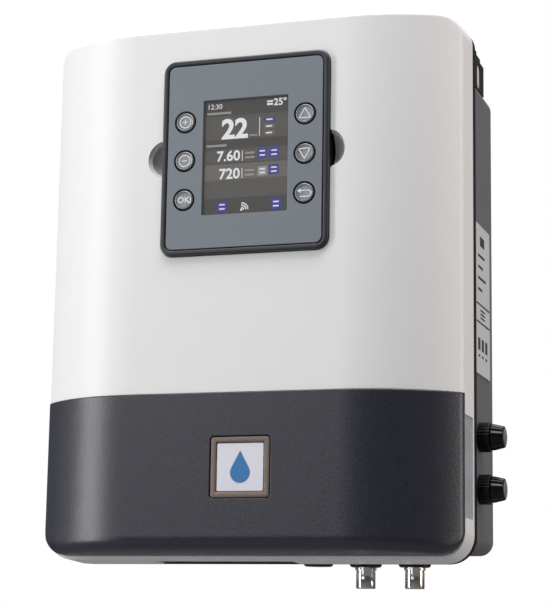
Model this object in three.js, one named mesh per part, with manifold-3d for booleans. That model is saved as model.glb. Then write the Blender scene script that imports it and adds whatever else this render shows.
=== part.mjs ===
// A wall-mounted salt chlorine generator for swimming pools, in millimetres.
// +Z is up, the front faces -Y, and the origin is the centre of the wall face.
import * as THREE from 'three';
import { mergeVertices } from 'three/addons/utils/BufferGeometryUtils.js';
import Module from 'manifold-3d';

const wasm = await Module();
wasm.setup();

// Driving dimensions of the enclosure
const GAP = 0.3;
const WALL = 2.6;
const COVER_WIDTH = 217.2;
const COVER_HEIGHT = 267.5;
const TOP_RISE = 5;
const COVER_CORNER = 13.7;
const COVER_TOP_CORNER = 10.5;
const COVER_FACE = -102;
const COVER_REAR = -54;
const FLAT_HALF_WIDTH = 53.2;
const SIDE_SWEEP_RADIUS = 74.1;
const SIDE_CORNER_RADIUS = 5;

// The dark cover over the wiring bay
const BAY_TOP = -53;
const TERMINAL_PROUD = 1.3;
const TERMINAL_REAR = -75;
const TERMINAL_BOTTOM = -132.4;
const TERMINAL_CORNER = 12.9;

// The rear housing, and the black frame that seals it to the cover and skirts its flange
const SEAL_FRONT = COVER_REAR + GAP;
const SEAL_REAR = -49.8;
const SKIRT_REAR = -46.5;
const SEAL_INSET = 0.2;
const SKIRT_INSET = 2;
const FLANGE_FRONT = SEAL_REAR + GAP;
const FLANGE_REAR = SKIRT_REAR + GAP;
const FLANGE_INSET = SKIRT_INSET + GAP;
const HOUSING_HALF_WIDTH = 107.1;
const HOUSING_BOTTOM = -127.3;
const HOUSING_TOP = 114.9;
const HOUSING_CORNER = 7;

// The display module and its tray; the display and the badge stand a little right of centre
const FACE_X = 3.9;
const DISPLAY_Z = 65.8;
const DISPLAY_WIDTH = 87.3;
const DISPLAY_HEIGHT = 100.8;
const DISPLAY_CORNER = 6.5;
const DISPLAY_FACE = -104;
const BEZEL_RIM = 2.9;
const SCOOP_RADIUS = 9.8;
const SCOOP_CENTRE_X = 41.9;
const SCOOP_DEPTH = 9;
const LCD_WIDTH = 43.2;
const LCD_HEIGHT = 57.6;
const LCD_X = FACE_X + 0.4;
const LCD_Z = 64.8;
const KEY_COLUMN = 31.4;
const KEY_PITCH = 20;
const KEY_ROW_Z = 63.8;
const KEY_RADIUS = 4.8;
const KEY_HOLE_RADIUS = 5.75;

// Electrical fittings
const BOARD_FRONT = -13.9;
const BOARD_BACK = -12.3;
const FUSE_Y = -33.5;
const FUSE_HEIGHTS = [-69.9, -96];
const GLAND_Y = -38;
const JACK_POSITIONS = [49.8, 75];
const PLUG_X = 25;
const GLAND_BORE = 5.4;
const GLAND_TOP = -127.6;
const GLAND_BOTTOM = -132.5;
const SINK_BACK = -5.5;
const SINK_TOP = 135;

const ROUND = Math.PI * 2;
const RIGHT_ANGLE = Math.PI / 2;

// ---------------------------------------------------------------- geometry helpers

// Keeps positions only, merges shared vertices and drops triangles without area.
function weld(geometry) {
  const plain = geometry.clone();
  plain.deleteAttribute('normal');
  plain.deleteAttribute('uv');
  const merged = mergeVertices(plain, 1e-4);
  const index = merged.index.array;
  const kept = [];
  for (let i = 0; i < index.length; i += 3) {
    const corners = [index[i], index[i + 1], index[i + 2]];
    if (new Set(corners).size === 3) kept.push(...corners);
  }
  merged.setIndex(kept);
  return merged;
}

function toSolid(geometry) {
  const welded = weld(geometry);
  const mesh = new wasm.Mesh({
    numProp: 3,
    vertProperties: new Float32Array(welded.attributes.position.array),
    triVerts: new Uint32Array(welded.index.array),
  });
  return new wasm.Manifold(mesh);
}

function toGeometry(solid) {
  const mesh = solid.getMesh();
  const geometry = new THREE.BufferGeometry();
  geometry.setAttribute('position', new THREE.BufferAttribute(mesh.vertProperties, 3));
  geometry.setIndex(new THREE.BufferAttribute(mesh.triVerts, 1));
  return geometry;
}

function join(...geometries) {
  const solids = geometries.map(toSolid);
  return toGeometry(solids.reduce((whole, piece) => whole.add(piece)));
}

function cut(geometry, ...tools) {
  const start = toSolid(geometry);
  return toGeometry(tools.map(toSolid).reduce((left, tool) => left.subtract(tool), start));
}

function common(first, second) {
  return toGeometry(toSolid(first).intersect(toSolid(second)));
}

// Extrudes a shape along +Z, after dropping outline points that coincide.
function extrude(shape, depth, arcSteps) {
  const points = shape.getPoints(arcSteps);
  const distinct = points.filter((point, i) => point.distanceTo(points[(i + 1) % points.length]) > 1e-3);
  return new THREE.ExtrudeGeometry(new THREE.Shape(distinct), { depth, bevelEnabled: false });
}

// Extrudes a shape drawn in X and Z, as seen from the front.
function frontSlab(shape, yFront, yBack, arcSteps = 3) {
  const geometry = extrude(shape, yBack - yFront, arcSteps);
  geometry.rotateX(RIGHT_ANGLE);
  geometry.translate(0, yBack, 0);
  return geometry;
}

// Extrudes a shape drawn in X and Y, as seen from above.
function planPrism(shape, zLow, zHigh, arcSteps = 3) {
  const geometry = extrude(shape, zHigh - zLow, arcSteps);
  geometry.translate(0, 0, zLow);
  return geometry;
}

// Extrudes a shape drawn in Y and Z, as seen from the right.
function sidePrism(shape, xLow, xHigh) {
  const geometry = extrude(shape, xHigh - xLow, 1);
  const basis = new THREE.Matrix4().makeBasis(
    new THREE.Vector3(0, 1, 0), new THREE.Vector3(0, 0, 1), new THREE.Vector3(1, 0, 0));
  geometry.applyMatrix4(basis);
  geometry.translate(xLow, 0, 0);
  return geometry;
}

function block([x0, x1], [y0, y1], [z0, z1]) {
  const geometry = new THREE.BoxGeometry(x1 - x0, y1 - y0, z1 - z0);
  geometry.translate((x0 + x1) / 2, (y0 + y1) / 2, (z0 + z1) / 2);
  return geometry;
}

// Turns a profile of [radius, station] pairs about a line along the named axis.
function turned(axis, profile, [x, y, z], segments = 18) {
  const points = profile.map(([radius, station]) => new THREE.Vector2(radius, station));
  const geometry = new THREE.LatheGeometry(points, segments);
  if (axis === 'x') geometry.rotateZ(-RIGHT_ANGLE);
  if (axis === 'z') geometry.rotateX(RIGHT_ANGLE);
  geometry.translate(x, y, z);
  return weld(geometry);
}

function rod(axis, radius, from, to, centre, segments = 14) {
  return turned(axis, [[0, from], [radius, from], [radius, to], [0, to]], centre, segments);
}

// A rounded rectangle; its top corners may have a radius of their own.
function roundedRect(width, height, radius, centreX = 0, centreZ = 0, topRadius = radius) {
  const shape = new THREE.Shape();
  const [right, low] = [width / 2 - radius, centreZ - height / 2 + radius];
  const [topRight, high] = [width / 2 - topRadius, centreZ + height / 2 - topRadius];
  shape.absarc(centreX + right, low, radius, -RIGHT_ANGLE, 0);
  shape.absarc(centreX + topRight, high, topRadius, 0, RIGHT_ANGLE);
  shape.absarc(centreX - topRight, high, topRadius, RIGHT_ANGLE, Math.PI);
  shape.absarc(centreX - right, low, radius, Math.PI, Math.PI + RIGHT_ANGLE);
  shape.closePath();
  return shape;
}

function disc(radius, centreX, centreY) {
  const shape = new THREE.Shape();
  shape.absarc(centreX, centreY, radius, 0, ROUND);
  return shape;
}

// A toothed round outline, used for knurls, flutes and hexagon nuts.
function toothedDisc(teeth, outer, inner) {
  const shape = new THREE.Shape();
  for (let i = 0; i < teeth * 2; i += 1) {
    const radius = i % 2 === 0 ? outer : inner;
    const angle = (i / (teeth * 2)) * ROUND;
    const point = [radius * Math.cos(angle), radius * Math.sin(angle)];
    if (i === 0) shape.moveTo(...point);
    else shape.lineTo(...point);
  }
  shape.closePath();
  return shape;
}

// ---------------------------------------------------------------- enclosure outlines

// The plan of the front: flat in the middle, then a wide sweep and a small corner each side.
function coverPlan(inset, face, rear) {
  const half = COVER_WIDTH / 2 - inset;
  const sweep = SIDE_SWEEP_RADIUS - inset;
  const corner = SIDE_CORNER_RADIUS - inset;
  const turn = Math.asin((half - corner - FLAT_HALF_WIDTH) / (sweep - corner));
  const cornerY = face + sweep - (sweep - corner) * Math.cos(turn);
  const shape = new THREE.Shape();
  shape.moveTo(-half, rear);
  shape.lineTo(-half, cornerY);
  shape.absarc(-half + corner, cornerY, corner, Math.PI, Math.PI + RIGHT_ANGLE - turn);
  shape.absarc(-FLAT_HALF_WIDTH, face + sweep, sweep, Math.PI * 1.5 - turn, Math.PI * 1.5);
  shape.absarc(FLAT_HALF_WIDTH, face + sweep, sweep, Math.PI * 1.5, Math.PI * 1.5 + turn);
  shape.absarc(half - corner, cornerY, corner, turn - RIGHT_ANGLE, 0);
  shape.lineTo(half, rear);
  shape.closePath();
  return shape;
}

// The outline seen from the front; its top is raised by the given rise.
function coverOutline(inset, rise) {
  const width = COVER_WIDTH - 2 * inset;
  const height = COVER_HEIGHT + rise - 2 * inset;
  return roundedRect(width, height, COVER_CORNER - inset, 0, rise / 2, COVER_TOP_CORNER - inset);
}

function rearOutline(inset) {
  return coverOutline(inset, TOP_RISE);
}

// The body of the cover, whose top slopes up from the face to the rear edge.
function coverBody(inset, rear) {
  const plan = planPrism(coverPlan(inset, COVER_FACE + inset, rear), -COVER_HEIGHT, COVER_HEIGHT);
  const slab = frontSlab(coverOutline(inset, 0), COVER_FACE - 5, rear);
  const position = slab.attributes.position;
  const slope = TOP_RISE / (COVER_REAR - COVER_FACE);
  for (let i = 0; i < position.count; i += 1) {
    const z = position.getZ(i);
    if (z > 0) position.setZ(i, z + slope * (position.getY(i) - COVER_FACE));
  }
  return common(plan, slab);
}

function displayOutline(margin) {
  const width = DISPLAY_WIDTH + 2 * margin;
  const height = DISPLAY_HEIGHT + 2 * margin;
  return roundedRect(width, height, DISPLAY_CORNER + margin, FACE_X, DISPLAY_Z);
}

function scoopPair(radius, yFront, yBack) {
  const shapes = [-1, 1].map((side) => disc(radius, FACE_X + side * SCOOP_CENTRE_X, DISPLAY_Z));
  return shapes.map((shape) => frontSlab(shape, yFront, yBack, 10));
}

// ---------------------------------------------------------------- housing and seals

const ENTRY_X = [-52.3, 20.2];
const ENTRY_FRONT = -66;
const STANDOFFS = [[-88, -100], [88, -40], [-88, 20], [88, 90]];
const KEYHOLES = [[-70, 84], [70, 84], [0, -108]];

function keyholeCut([x, z]) {
  const depth = [-4.5, 1];
  const slot = block([x - 2.2, x + 2.2], depth, [z, z + 9]);
  return join(rod('y', 4.2, depth[0], depth[1], [x, 0, z]), slot);
}

function housingShell() {
  const height = HOUSING_TOP - HOUSING_BOTTOM;
  const middle = (HOUSING_TOP + HOUSING_BOTTOM) / 2;
  const tub = roundedRect(HOUSING_HALF_WIDTH * 2, height, HOUSING_CORNER, 0, middle);
  const width = (HOUSING_HALF_WIDTH - WALL) * 2;
  const cavity = roundedRect(width, height - 2 * WALL, HOUSING_CORNER - WALL, 0, middle);
  const flange = frontSlab(rearOutline(FLANGE_INSET), FLANGE_FRONT, FLANGE_REAR);
  const outside = join(flange, frontSlab(tub, FLANGE_REAR, 0));
  return cut(outside, frontSlab(cavity, FLANGE_FRONT - 1, -WALL));
}

function rearHousing() {
  const posts = STANDOFFS.map(([x, z]) => rod('y', 3.5, BOARD_BACK + GAP, -1, [x, 0, z], 12));
  const pads = KEYHOLES.map(([x, z]) => block([x - 8, x + 8], [-7, -1], [z - 8, z + 13]));
  const boss = rod('y', 8, -9.5, -1, [TRANSFORMER_X, 0, TRANSFORMER_Z]);
  const body = join(housingShell(), ...posts, ...pads, boss);
  const pilots = STANDOFFS.map(([x, z]) => rod('y', 1.9, -14, -4, [x, 0, z], 10));
  const bolt = rod('y', 3.4, -12, -3, [TRANSFORMER_X, 0, TRANSFORMER_Z]);
  const side = [HOUSING_HALF_WIDTH - 6, HOUSING_HALF_WIDTH + 6];
  const fuses = FUSE_HEIGHTS.map((z) => rod('x', HOLDER_BORE, ...side, [0, FUSE_Y, z], 18));
  const floor = [HOUSING_BOTTOM - 3, HOUSING_BOTTOM + 5];
  const glands = [PLUG_X, ...JACK_POSITIONS].map((x) => rod('z', GLAND_BORE, ...floor, [x, GLAND_Y, 0]));
  return cut(body, ...KEYHOLES.map(keyholeCut), ...pilots, bolt, ...fuses, ...glands);
}

function sealFrame() {
  const frame = frontSlab(rearOutline(SEAL_INSET), SEAL_FRONT, SKIRT_REAR);
  const opening = frontSlab(rearOutline(4.6), SEAL_FRONT - 1, SEAL_REAR + 1);
  const flangeRoom = frontSlab(rearOutline(SKIRT_INSET), SEAL_REAR, SKIRT_REAR + 1);
  return cut(frame, opening, flangeRoom);
}

// ---------------------------------------------------------------- front covers

const INSET_Y = [TERMINAL_REAR + GAP, -56.5];
const INSET_Z = [-113, -62.8];
const INSET_DEPTH = 1.6;
const SHELF_REAR = -62;
const BADGE_X = FACE_X + 0.6;
const BADGE_Z = -89.7;
const BADGE_WIDTH = 29.8;
const BADGE_HEIGHT = 29.3;
const BADGE_RIM = 2.8;
const TERMINAL_FACE = COVER_FACE - TERMINAL_PROUD;
const BADGE_BACK = TERMINAL_FACE + 1.3;

// The recess for a side inset, open towards the wiring bay.
function sideInsetRecess(side) {
  const outer = side * (COVER_WIDTH / 2 + 1);
  const inner = side * (COVER_WIDTH / 2 - INSET_DEPTH);
  return block([outer, inner].sort((a, b) => a - b), [INSET_Y[0] - 1, INSET_Y[1]], INSET_Z);
}

function frontCover() {
  const shell = cut(coverBody(0, COVER_REAR), coverBody(WALL, COVER_REAR + 1));
  const wide = [-COVER_WIDTH, COVER_WIDTH];
  const shelfZone = block(wide, [COVER_FACE + 1, SHELF_REAR], [BAY_TOP, BAY_TOP + WALL]);
  const shelf = common(shelfZone, coverBody(0.5, COVER_REAR));
  const bay = block(wide, [COVER_FACE - 5, TERMINAL_REAR + GAP], [-COVER_HEIGHT, BAY_TOP]);
  const window = frontSlab(displayOutline(GAP), COVER_FACE - 5, COVER_FACE + 6);
  const scoops = scoopPair(SCOOP_RADIUS, COVER_FACE - 5, COVER_FACE + 6);
  const floor = [-COVER_HEIGHT, -COVER_HEIGHT / 2 + WALL + 1];
  const entry = block(ENTRY_X, [ENTRY_FRONT, COVER_REAR + 1], floor);
  const recesses = [-1, 1].map(sideInsetRecess);
  return cut(join(shell, shelf), bay, window, ...scoops, entry, ...recesses);
}

function sideInset(side) {
  const outer = side * (COVER_WIDTH / 2 - 0.5);
  const inner = side * (COVER_WIDTH / 2 - INSET_DEPTH + GAP);
  const [x0, x1] = [outer, inner].sort((a, b) => a - b);
  return block([x0, x1], [INSET_Y[0], INSET_Y[1] - GAP], [INSET_Z[0] + GAP, INSET_Z[1] - GAP]);
}

function cableEntryStrip() {
  const x = [ENTRY_X[0] + GAP, ENTRY_X[1] - GAP];
  const bottom = -COVER_HEIGHT / 2 + 0.8;
  const strip = block(x, [ENTRY_FRONT + GAP, COVER_REAR], [bottom, bottom + 5]);
  const count = 3;
  const pitch = (x[1] - x[0]) / count;
  const dimples = Array.from({ length: count }, (_, i) => x[0] + pitch * (i + 0.5))
    .map((centre) => rod('z', 4, bottom - 1, bottom + 1.2, [centre, -60, 0]));
  return cut(strip, ...dimples);
}

function terminalBody(inset) {
  const rear = TERMINAL_REAR + (inset > 0 ? 1 : 0);
  const shape = coverPlan(inset, TERMINAL_FACE + inset, COVER_REAR);
  const plan = planPrism(shape, -COVER_HEIGHT, COVER_HEIGHT);
  const top = BAY_TOP - GAP - inset;
  const bottom = TERMINAL_BOTTOM + inset;
  const corner = TERMINAL_CORNER - inset;
  const half = COVER_WIDTH / 2 - inset;
  const outline = new THREE.Shape();
  outline.moveTo(-half, top);
  outline.lineTo(-half, bottom + corner);
  outline.absarc(-half + corner, bottom + corner, corner, Math.PI, Math.PI * 1.5);
  outline.absarc(half - corner, bottom + corner, corner, Math.PI * 1.5, ROUND);
  outline.lineTo(half, top);
  outline.closePath();
  return common(plan, frontSlab(outline, TERMINAL_FACE - 5, rear));
}

function terminalCover() {
  const recess = roundedRect(BADGE_WIDTH + 0.8, BADGE_HEIGHT + 0.8, 1.6, BADGE_X, BADGE_Z);
  const seat = frontSlab(recess, TERMINAL_FACE - 5, TERMINAL_FACE + 1.6);
  return cut(terminalBody(0), terminalBody(WALL), seat);
}

function badgeFrame() {
  const outer = roundedRect(BADGE_WIDTH, BADGE_HEIGHT, 1.4, BADGE_X, BADGE_Z);
  const margin = 2 * BADGE_RIM;
  const inner = roundedRect(BADGE_WIDTH - margin, BADGE_HEIGHT - margin, 0.8, BADGE_X, BADGE_Z);
  const rim = frontSlab(outer, TERMINAL_FACE + 0.2, BADGE_BACK);
  return cut(rim, frontSlab(inner, TERMINAL_FACE - 1, BADGE_BACK + 1));
}

function badgePlate() {
  const margin = 2 * (BADGE_RIM + GAP);
  const shape = roundedRect(BADGE_WIDTH - margin, BADGE_HEIGHT - margin, 0.6, BADGE_X, BADGE_Z);
  return frontSlab(shape, TERMINAL_FACE + 0.5, BADGE_BACK);
}

// ---------------------------------------------------------------- display module

const TRAY_FLOOR = -80;
const MODULE_BACK = -82;
const BEZEL_BACK = -101.9;
const PANEL_BACK = -102.4;
const KEY_ROWS = [1, 0, -1].map((row) => KEY_ROW_Z + row * KEY_PITCH);

// The centres of the six keys, the left column first and each from the top down.
function keyPlaces() {
  return [-1, 1].flatMap((side) => KEY_ROWS.map((z) => [FACE_X + side * KEY_COLUMN, z]));
}

// The tray stands behind the cover and holds the module, with a finger scoop on each side.
function displayTray() {
  const wall = 1.3;
  const front = COVER_FACE + WALL + GAP;
  const scoopFloor = COVER_FACE + SCOOP_DEPTH;
  const outerScoops = scoopPair(SCOOP_RADIUS + wall, front, scoopFloor + wall);
  const outerWall = frontSlab(displayOutline(0.5 + wall), front, TRAY_FLOOR + wall);
  const outside = join(outerWall, ...outerScoops);
  const pocket = frontSlab(displayOutline(0.5), front - 1, TRAY_FLOOR);
  const scoops = scoopPair(SCOOP_RADIUS, front - 1, scoopFloor);
  const harnessX = [FACE_X - 14, FACE_X + 14];
  const harness = block(harnessX, [TRAY_FLOOR - 2, TRAY_FLOOR + 4], [DISPLAY_Z - 34, DISPLAY_Z - 24]);
  return cut(outside, pocket, ...scoops, harness);
}

function displayBack() {
  const outside = frontSlab(displayOutline(-0.4), BEZEL_BACK + GAP, MODULE_BACK);
  const cavity = frontSlab(displayOutline(-2.2), BEZEL_BACK - 1, MODULE_BACK - 1.8);
  const plugX = [FACE_X - 11, FACE_X + 11];
  const plug = block(plugX, [MODULE_BACK - 4, MODULE_BACK + 2], [DISPLAY_Z - 32, DISPLAY_Z - 26]);
  return cut(outside, cavity, plug);
}

function displayBezel() {
  const rim = frontSlab(displayOutline(0), DISPLAY_FACE - 0.1, BEZEL_BACK);
  return cut(rim, frontSlab(displayOutline(-BEZEL_RIM), DISPLAY_FACE - 2, BEZEL_BACK + 1));
}

function keyPanel() {
  const plate = frontSlab(displayOutline(-BEZEL_RIM - GAP), DISPLAY_FACE, PANEL_BACK);
  const window = roundedRect(LCD_WIDTH + 1.4, LCD_HEIGHT + 1.4, 0.6, LCD_X, LCD_Z);
  const holes = keyPlaces().map(([x, z]) => disc(KEY_HOLE_RADIUS, x, z));
  const tools = [window, ...holes].map((shape) => frontSlab(shape, DISPLAY_FACE - 1, PANEL_BACK + 1, 8));
  return cut(plate, ...tools);
}

function lcdWindow() {
  const shape = roundedRect(LCD_WIDTH + 0.8, LCD_HEIGHT + 0.8, 0.4, LCD_X, LCD_Z);
  return frontSlab(shape, DISPLAY_FACE + 0.1, PANEL_BACK);
}

function lcdPanel() {
  const shape = roundedRect(LCD_WIDTH + 6, LCD_HEIGHT + 11, 1, LCD_X, LCD_Z - 1.5);
  return frontSlab(shape, PANEL_BACK + 0.5, PANEL_BACK + 3.2);
}

function displayBoard() {
  const [front, back] = [-97.6, -96];
  const board = frontSlab(displayOutline(-3.4), front, back);
  const reach = [front - 1, front + 0.6];
  const switches = keyPlaces().map(([x, z]) => block([x - 3, x + 3], reach, [z - 3, z + 3]));
  const headerX = [FACE_X - 10, FACE_X + 10];
  const header = block(headerX, [back - 0.4, MODULE_BACK - 3], [DISPLAY_Z - 31.4, DISPLAY_Z - 26.6]);
  return join(board, ...switches, header);
}

// A key has a slightly domed cap, a retaining flange behind the panel and a stem.
function keyCap(x, z) {
  const crown = DISPLAY_FACE - 0.3;
  const flange = { radius: KEY_HOLE_RADIUS + 0.5, front: PANEL_BACK + 0.5, back: PANEL_BACK + 1.2 };
  const stem = { radius: 1.8, end: -99.4 };
  const profile = [
    [0, crown], [KEY_RADIUS * 0.6, crown + 0.1], [KEY_RADIUS - 0.3, crown + 0.35],
    [KEY_RADIUS, crown + 0.8], [KEY_RADIUS, flange.front], [flange.radius, flange.front],
    [flange.radius, flange.back], [stem.radius, flange.back], [stem.radius, stem.end], [0, stem.end],
  ];
  return turned('y', profile, [x, 0, z], 14);
}

// ---------------------------------------------------------------- inside the housing

const TRANSFORMER_X = -45;
const TRANSFORMER_Z = 70;

// An upright slot with round ends, cut through one end fin of the heat sink.
function hangSlot(xRange) {
  const heights = [119.2, 125.6];
  const radius = 3.2;
  const middle = -19;
  const ends = heights.map((z) => rod('x', radius, ...xRange, [0, middle, z], 12));
  return join(...ends, block(xRange, [middle - radius, middle + radius], heights));
}

function heatSink() {
  const base = { front: FLANGE_REAR + GAP, back: -41 };
  const halfWidth = 104.3;
  const bottom = HOUSING_TOP + GAP;
  const finCount = 21;
  const finHalf = 0.9;
  const pitch = (2 * (halfWidth - finHalf)) / (finCount - 1);
  const comb = new THREE.Shape();
  comb.moveTo(-halfWidth, base.front);
  comb.lineTo(halfWidth, base.front);
  for (let i = finCount - 1; i >= 0; i -= 1) {
    const x = -halfWidth + finHalf + i * pitch;
    comb.lineTo(x + finHalf, i === finCount - 1 ? base.front : base.back);
    comb.lineTo(x + finHalf, SINK_BACK);
    comb.lineTo(x - finHalf, SINK_BACK);
    if (i > 0) comb.lineTo(x - finHalf, base.back);
  }
  comb.closePath();
  const steps = [[-23.5, 1.6], [-14.5, 3.4]];
  const reach = halfWidth + 5;
  const cuts = steps.map(([y, drop]) => block([-reach, reach], [y, 5], [SINK_TOP - drop, SINK_TOP + 5]));
  const ends = [[-reach, 4 - halfWidth], [halfWidth - 4, reach]];
  return cut(planPrism(comb, bottom, SINK_TOP), ...cuts, ...ends.map(hangSlot));
}

function ratingLabel() {
  const x = [HOUSING_HALF_WIDTH + GAP, HOUSING_HALF_WIDTH + GAP + 0.3];
  return block(x, [-43, -9.5], [-38.2, 39]);
}

function mainBoard() {
  const outline = new THREE.Shape();
  const corners = [[-96, -112], [96, -112], [96, 98], [0, 98], [0, 28], [-96, 28]];
  corners.forEach(([x, z], i) => (i === 0 ? outline.moveTo(x, z) : outline.lineTo(x, z)));
  outline.closePath();
  const holes = STANDOFFS.map(([x, z]) => rod('y', 1.9, -20, -8, [x, 0, z], 12));
  return cut(frontSlab(outline, BOARD_FRONT, BOARD_BACK), ...holes);
}

function boardScrew([x, z]) {
  const seat = BOARD_FRONT - GAP;
  const head = [[0, seat - 2], [2.2, seat - 1.8], [3, seat - 0.8], [3, seat]];
  const shank = [[1.5, seat], [1.5, -5], [0, -5]];
  return turned('y', [...head, ...shank], [x, 0, z], 10);
}

function powerTransformer() {
  const [inner, outer, front, back] = [9, 34, -46, -10];
  const soft = 6;
  const profile = [
    [inner, front + soft], [inner + soft, front], [outer - soft, front], [outer, front + soft],
    [outer, back - soft], [outer - soft, back], [inner + soft, back], [inner, back - soft],
    [inner, front + soft],
  ];
  return turned('y', profile, [TRANSFORMER_X, 0, TRANSFORMER_Z], 20);
}

function transformerBolt() {
  const profile = [
    [0, -52], [5, -52], [5, -48.6], [22, -48.6], [22, -46.3], [3, -46.3], [3, -5], [0, -5],
  ];
  return turned('y', profile, [TRANSFORMER_X, 0, TRANSFORMER_Z], 14);
}

function capacitor(x, z) {
  const radius = 12.5;
  const front = BOARD_FRONT - GAP - 32;
  const back = BOARD_FRONT - GAP;
  const profile = [
    [0, front + 0.6], [radius - 2, front + 0.6], [radius - 1.5, front], [radius, front + 1],
    [radius, back - 4], [radius - 0.8, back - 3.2], [radius, back - 2.4], [radius, back], [0, back],
  ];
  return turned('y', profile, [x, 0, z], 14);
}

function relay(x, z) {
  const back = BOARD_FRONT - GAP;
  return block([x - 14.5, x + 14.5], [back - 16, back], [z - 6.3, z + 6.3]);
}

// A row of screw terminals: a wire entry low on the front and a screw well above each.
function terminalBlock(ways, xStart, z) {
  const pitch = 7.6;
  const back = BOARD_FRONT - GAP;
  const front = back - 15;
  const body = block([xStart, xStart + ways * pitch], [front, back], [z - 8, z + 8]);
  const centres = Array.from({ length: ways }, (_, i) => xStart + pitch * (i + 0.5));
  const entries = centres.map((x) => block([x - 1.7, x + 1.7], [front + 6, front + 9.4], [z - 9, z - 3]));
  const wells = centres.map((x) => rod('y', 1.7, front - 1, front + 3, [x, 0, z + 2], 8));
  return cut(body, ...entries, ...wells);
}

function bridgeRectifier() {
  const plate = block([22, 51], [-57.3, FLANGE_FRONT - GAP], [116, 129]);
  const screw = rod('y', 2, -58.8, -57, [36.5, 0, 122.5], 12);
  return join(plate, screw);
}

// ---------------------------------------------------------------- fuses and connectors

const HOLDER_FLANGE = [HOUSING_HALF_WIDTH + GAP, 113];
const HOLDER_INNER_END = 75.6;
const HOLDER_BORE = 6.5;
const FUSE_BORE = 3.3;
const FUSE_LINK = [83.2, 103.8];
const FUSE_CAP_END = 119.9;

function fuseHolderBody(z) {
  const centre = [0, FUSE_Y, z];
  const knurl = sidePrism(toothedDisc(20, 7.45, 7.1), ...HOLDER_FLANGE);
  knurl.translate(0, FUSE_Y, z);
  const barrel = rod('x', 6.05, HOLDER_INNER_END, HOLDER_FLANGE[0] + 1, centre, 18);
  const tail = rod('x', 2, HOLDER_INNER_END - 6, HOLDER_INNER_END + 1, centre, 10);
  const bore = rod('x', FUSE_BORE, HOLDER_INNER_END + 2.5, HOLDER_FLANGE[1] + 1, centre);
  return cut(join(knurl, barrel, tail), bore);
}

function fuseNut(z) {
  const inside = HOUSING_HALF_WIDTH - WALL - GAP;
  const hexagon = sidePrism(toothedDisc(3, 9.4, 9.4), inside - 4, inside);
  hexagon.translate(0, FUSE_Y, z);
  return cut(hexagon, rod('x', HOLDER_BORE, inside - 6, inside + 1, [0, FUSE_Y, z], 18));
}

// The cap is fluted and tapers towards its domed end, and its spigot grips the fuse.
function fuseCap(z) {
  const start = HOLDER_FLANGE[1] + GAP;
  const end = FUSE_CAP_END;
  const flutes = sidePrism(toothedDisc(12, 6.7, 6.2), start, end);
  const position = flutes.attributes.position;
  for (let i = 0; i < position.count; i += 1) {
    const scale = 1 - 0.17 * ((position.getX(i) - start) / (end - start));
    position.setY(i, position.getY(i) * scale);
    position.setZ(i, position.getZ(i) * scale);
  }
  flutes.translate(0, FUSE_Y, z);
  const centre = [0, FUSE_Y, z];
  const domeProfile = [[0, end - 1], [4.6, end - 1], [4.6, end + 0.1], [3, end + 0.5], [0, end + 0.7]];
  const dome = turned('x', domeProfile, centre, 14);
  const spigot = rod('x', FUSE_BORE - GAP - 0.1, FUSE_LINK[1] + GAP, start + 1, centre);
  return join(flutes, dome, spigot);
}

function fuseLink(z) {
  const [start, end] = FUSE_LINK;
  const endCap = 5.5;
  const [cap, tube] = [2.6, 2.4];
  const profile = [
    [0, start], [cap, start], [cap, start + endCap], [tube, start + endCap],
    [tube, end - endCap], [cap, end - endCap], [cap, end], [0, end],
  ];
  return turned('x', profile, [0, FUSE_Y, z], 12);
}

function glandPlate() {
  const outline = new THREE.Shape();
  const [x0, x1, y0, y1, radius] = [11.7, 88.7, FLANGE_REAR + GAP, -29, 5];
  outline.moveTo(x0, y0);
  outline.lineTo(x1, y0);
  outline.absarc(x1 - radius, y1 - radius, radius, 0, RIGHT_ANGLE);
  outline.absarc(x0 + radius, y1 - radius, radius, RIGHT_ANGLE, Math.PI);
  outline.closePath();
  const plate = planPrism(outline, GLAND_BOTTOM, GLAND_TOP);
  const holes = [PLUG_X, ...JACK_POSITIONS]
    .map((x) => rod('z', GLAND_BORE, GLAND_BOTTOM - 1, GLAND_TOP + 1, [x, GLAND_Y, 0]));
  return cut(plate, ...holes);
}

function blankingPlug() {
  const face = GLAND_BOTTOM - GAP;
  const profile = [
    [0, face - 1.5], [6.4, face - 1.5], [7.4, face - 0.9], [7.4, face], [5.1, face],
    [5.1, HOUSING_BOTTOM + WALL + 1], [0, HOUSING_BOTTOM + WALL + 1],
  ];
  return turned('z', profile, [PLUG_X, GLAND_Y, 0]);
}

function jackCollar(x) {
  const face = GLAND_BOTTOM - GAP;
  const profile = [
    [4.3, face - 1.9], [7.1, face - 1.9], [8, face - 1.1], [8, face], [4.3, face], [4.3, face - 1.9],
  ];
  return turned('z', profile, [x, GLAND_Y, 0]);
}

// A bayonet jack: an open barrel with two lugs, an insulator and a stem through the housing.
function bayonetJack(x) {
  const shoulder = GLAND_BOTTOM - GAP - 1.9 - GAP;
  const mouth = -145.2;
  const profile = [
    [0, mouth + 2.2], [2.3, mouth + 2.2], [2.3, shoulder - 1.4], [4.1, shoulder - 1.4],
    [4.1, mouth], [4.85, mouth], [4.85, shoulder - 1], [5.4, shoulder - 1], [5.4, shoulder],
    [4, shoulder], [4, -112], [1.2, -112], [1.2, -107], [0, -107],
  ];
  const body = turned('z', profile, [x, GLAND_Y, 0], 16);
  const lugs = [[-5.5, -4.5], [4.5, 5.5]]
    .map(([from, to]) => rod('y', 0.95, GLAND_Y + from, GLAND_Y + to, [x, 0, mouth + 5.2], 8));
  return join(body, ...lugs);
}

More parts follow.
